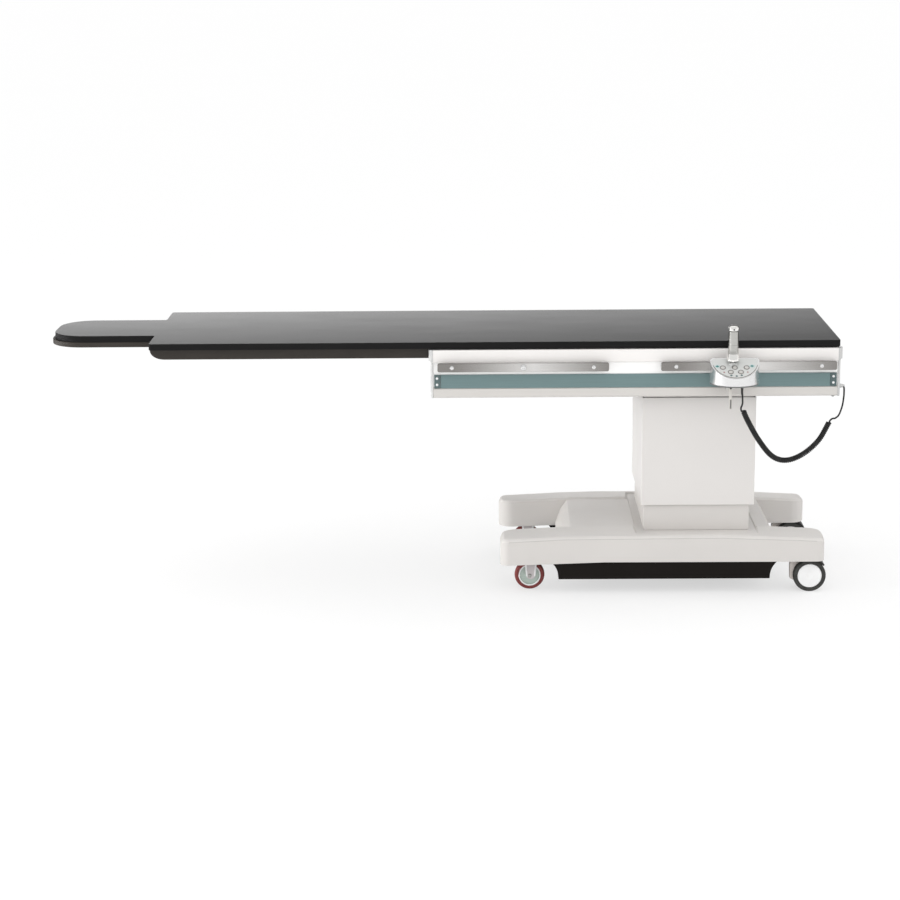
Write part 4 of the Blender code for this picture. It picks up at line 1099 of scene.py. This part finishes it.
FLOOR_WHITE, FLOOR_GLOW = (0.96, 0.96, 0.96), 0.60
PLAIN_WHITE = (1.0, 1.0, 1.0, 1.0)
ROOM_SIDE, ROOM_TOP, GLOSS_FRONT = 0.66, 1.20, 0.78
CARD_X, CARD_ALONG = (-1.8, 0.8), (1.06, 0.50)
CARD_Z, CARD_UP = (0.86, 1.13), (1.52, 0.10)


def stand(name, mesh, made, reflected_only=True):
    """Add a piece of the stage: the floor, or a card that only reflections show."""
    obj = placed(name, mesh, made.material)
    if reflected_only:
        obj.visible_camera = obj.visible_diffuse = obj.visible_shadow = False


def make_floor():
    """White floor that keeps a faint shadow: FLOOR_GLOW of what the camera sees of it is plain white."""
    made = Finish("floor_paper", FLOOR_WHITE, 0.9, specular=0.1)
    made.mottle(0.4, 0.003)
    made.patchy(3.0, 0.03)
    white = made.add("Emission", Color=PLAIN_WHITE, Strength=1.0).outputs["Emission"]
    share = made.math("MULTIPLY", made.add("LightPath").outputs["Is Camera Ray"], FLOOR_GLOW)
    made.show(blend(made.tree, share, made.shader.outputs["BSDF"], white))
    stand("floor", block("floor", (-70, 70), (-12, 90), (-0.02, 0.0)), made, reflected_only=False)


def sky(tree, axis, *limits):
    """A grey that runs from one value to another along a direction of the room."""
    place = add_node(tree, "TexCoord").outputs["Generated"]
    split = add_node(tree, "SeparateXYZ", Vector=place)
    ramp = add_node(tree, "MapRange", interpolation_type="SMOOTHSTEP", Value=split.outputs[axis],
                **dict(zip(RANGE, limits))).outputs["Result"]
    shade = add_node(tree, "CombineColor", Red=ramp, Green=ramp, Blue=ramp)
    return add_node(tree, "Background", Color=shade.outputs["Color"]).outputs["Background"]


def make_world():
    """White to the camera; light that is stronger overhead; reflections dimmer before the object."""
    world = bpy.data.worlds.new("soft_room")
    bpy.context.scene.world = world
    world.use_nodes = True
    tree = world.node_tree
    tree.nodes.clear()
    ray = add_node(tree, "LightPath").outputs
    light = sky(tree, "Z", 0.0, 1.0, ROOM_SIDE, ROOM_TOP)
    gloss = sky(tree, "Y", -0.6, 0.3, GLOSS_FRONT, 1.0)
    seen = add_node(tree, "Background", Color=PLAIN_WHITE).outputs["Background"]
    unseen = blend(tree, ray["Is Glossy Ray"], light, gloss)
    add_node(tree, "OutputWorld", Surface=blend(tree, ray["Is Camera Ray"], unseen, seen))


def make_reflector():
    """Graded card behind the table, seen only in reflections: light low and at the head end."""
    made = Finish("card_glow", (0, 0, 0))
    along = made.ramp(made.along("X"), *CARD_X, *CARD_ALONG)
    up = made.ramp(made.along("Z"), *CARD_Z, *CARD_UP)
    glow = made.add("Emission", Color=PLAIN_WHITE, Strength=made.math("MULTIPLY", along, up))
    made.show(glow.outputs["Emission"])
    stand("graded_card", block("card", (-5.0, 5.0), (1.2, 1.21), (0.80, 2.6)), made)


def make_flags():
    """Dark cards low behind the object, seen only in reflections: they edge the polished pieces."""
    made = Finish("flag_cloth", (0.02, 0.02, 0.02), 0.9, specular=0.0)
    for name, x in (("flag_left", (-4.6, -0.45)), ("flag_right", (0.62, 4.8))):
        stand(name, block(name, x, (2.4, 2.41), (0.01, 0.78)), made)


def soft_lamp(name, place, aim, size, watts):
    data = bpy.data.lights.new(name, "AREA")
    data.shape, data.size, data.size_y, data.energy = "RECTANGLE", size[0], size[1], watts
    lamp = placed(name, data)
    lamp.location += Vector(place)
    lamp.rotation_euler = (Vector(aim) - Vector(place)).to_track_quat("-Z", "Y").to_euler()
    lamp.visible_glossy = False


make_floor()
make_world()
make_reflector()
make_flags()
soft_lamp("key", (1.5, -5.5, 3.2), (0.0, 0.0, 0.6), (8.0, 3.0), 68)
soft_lamp("side", (-5.0, -0.4, 0.7), (0.0, 0.0, 0.45), (2.5, 0.7), 112)

scene = bpy.context.scene
scene.view_settings.view_transform = "Standard"
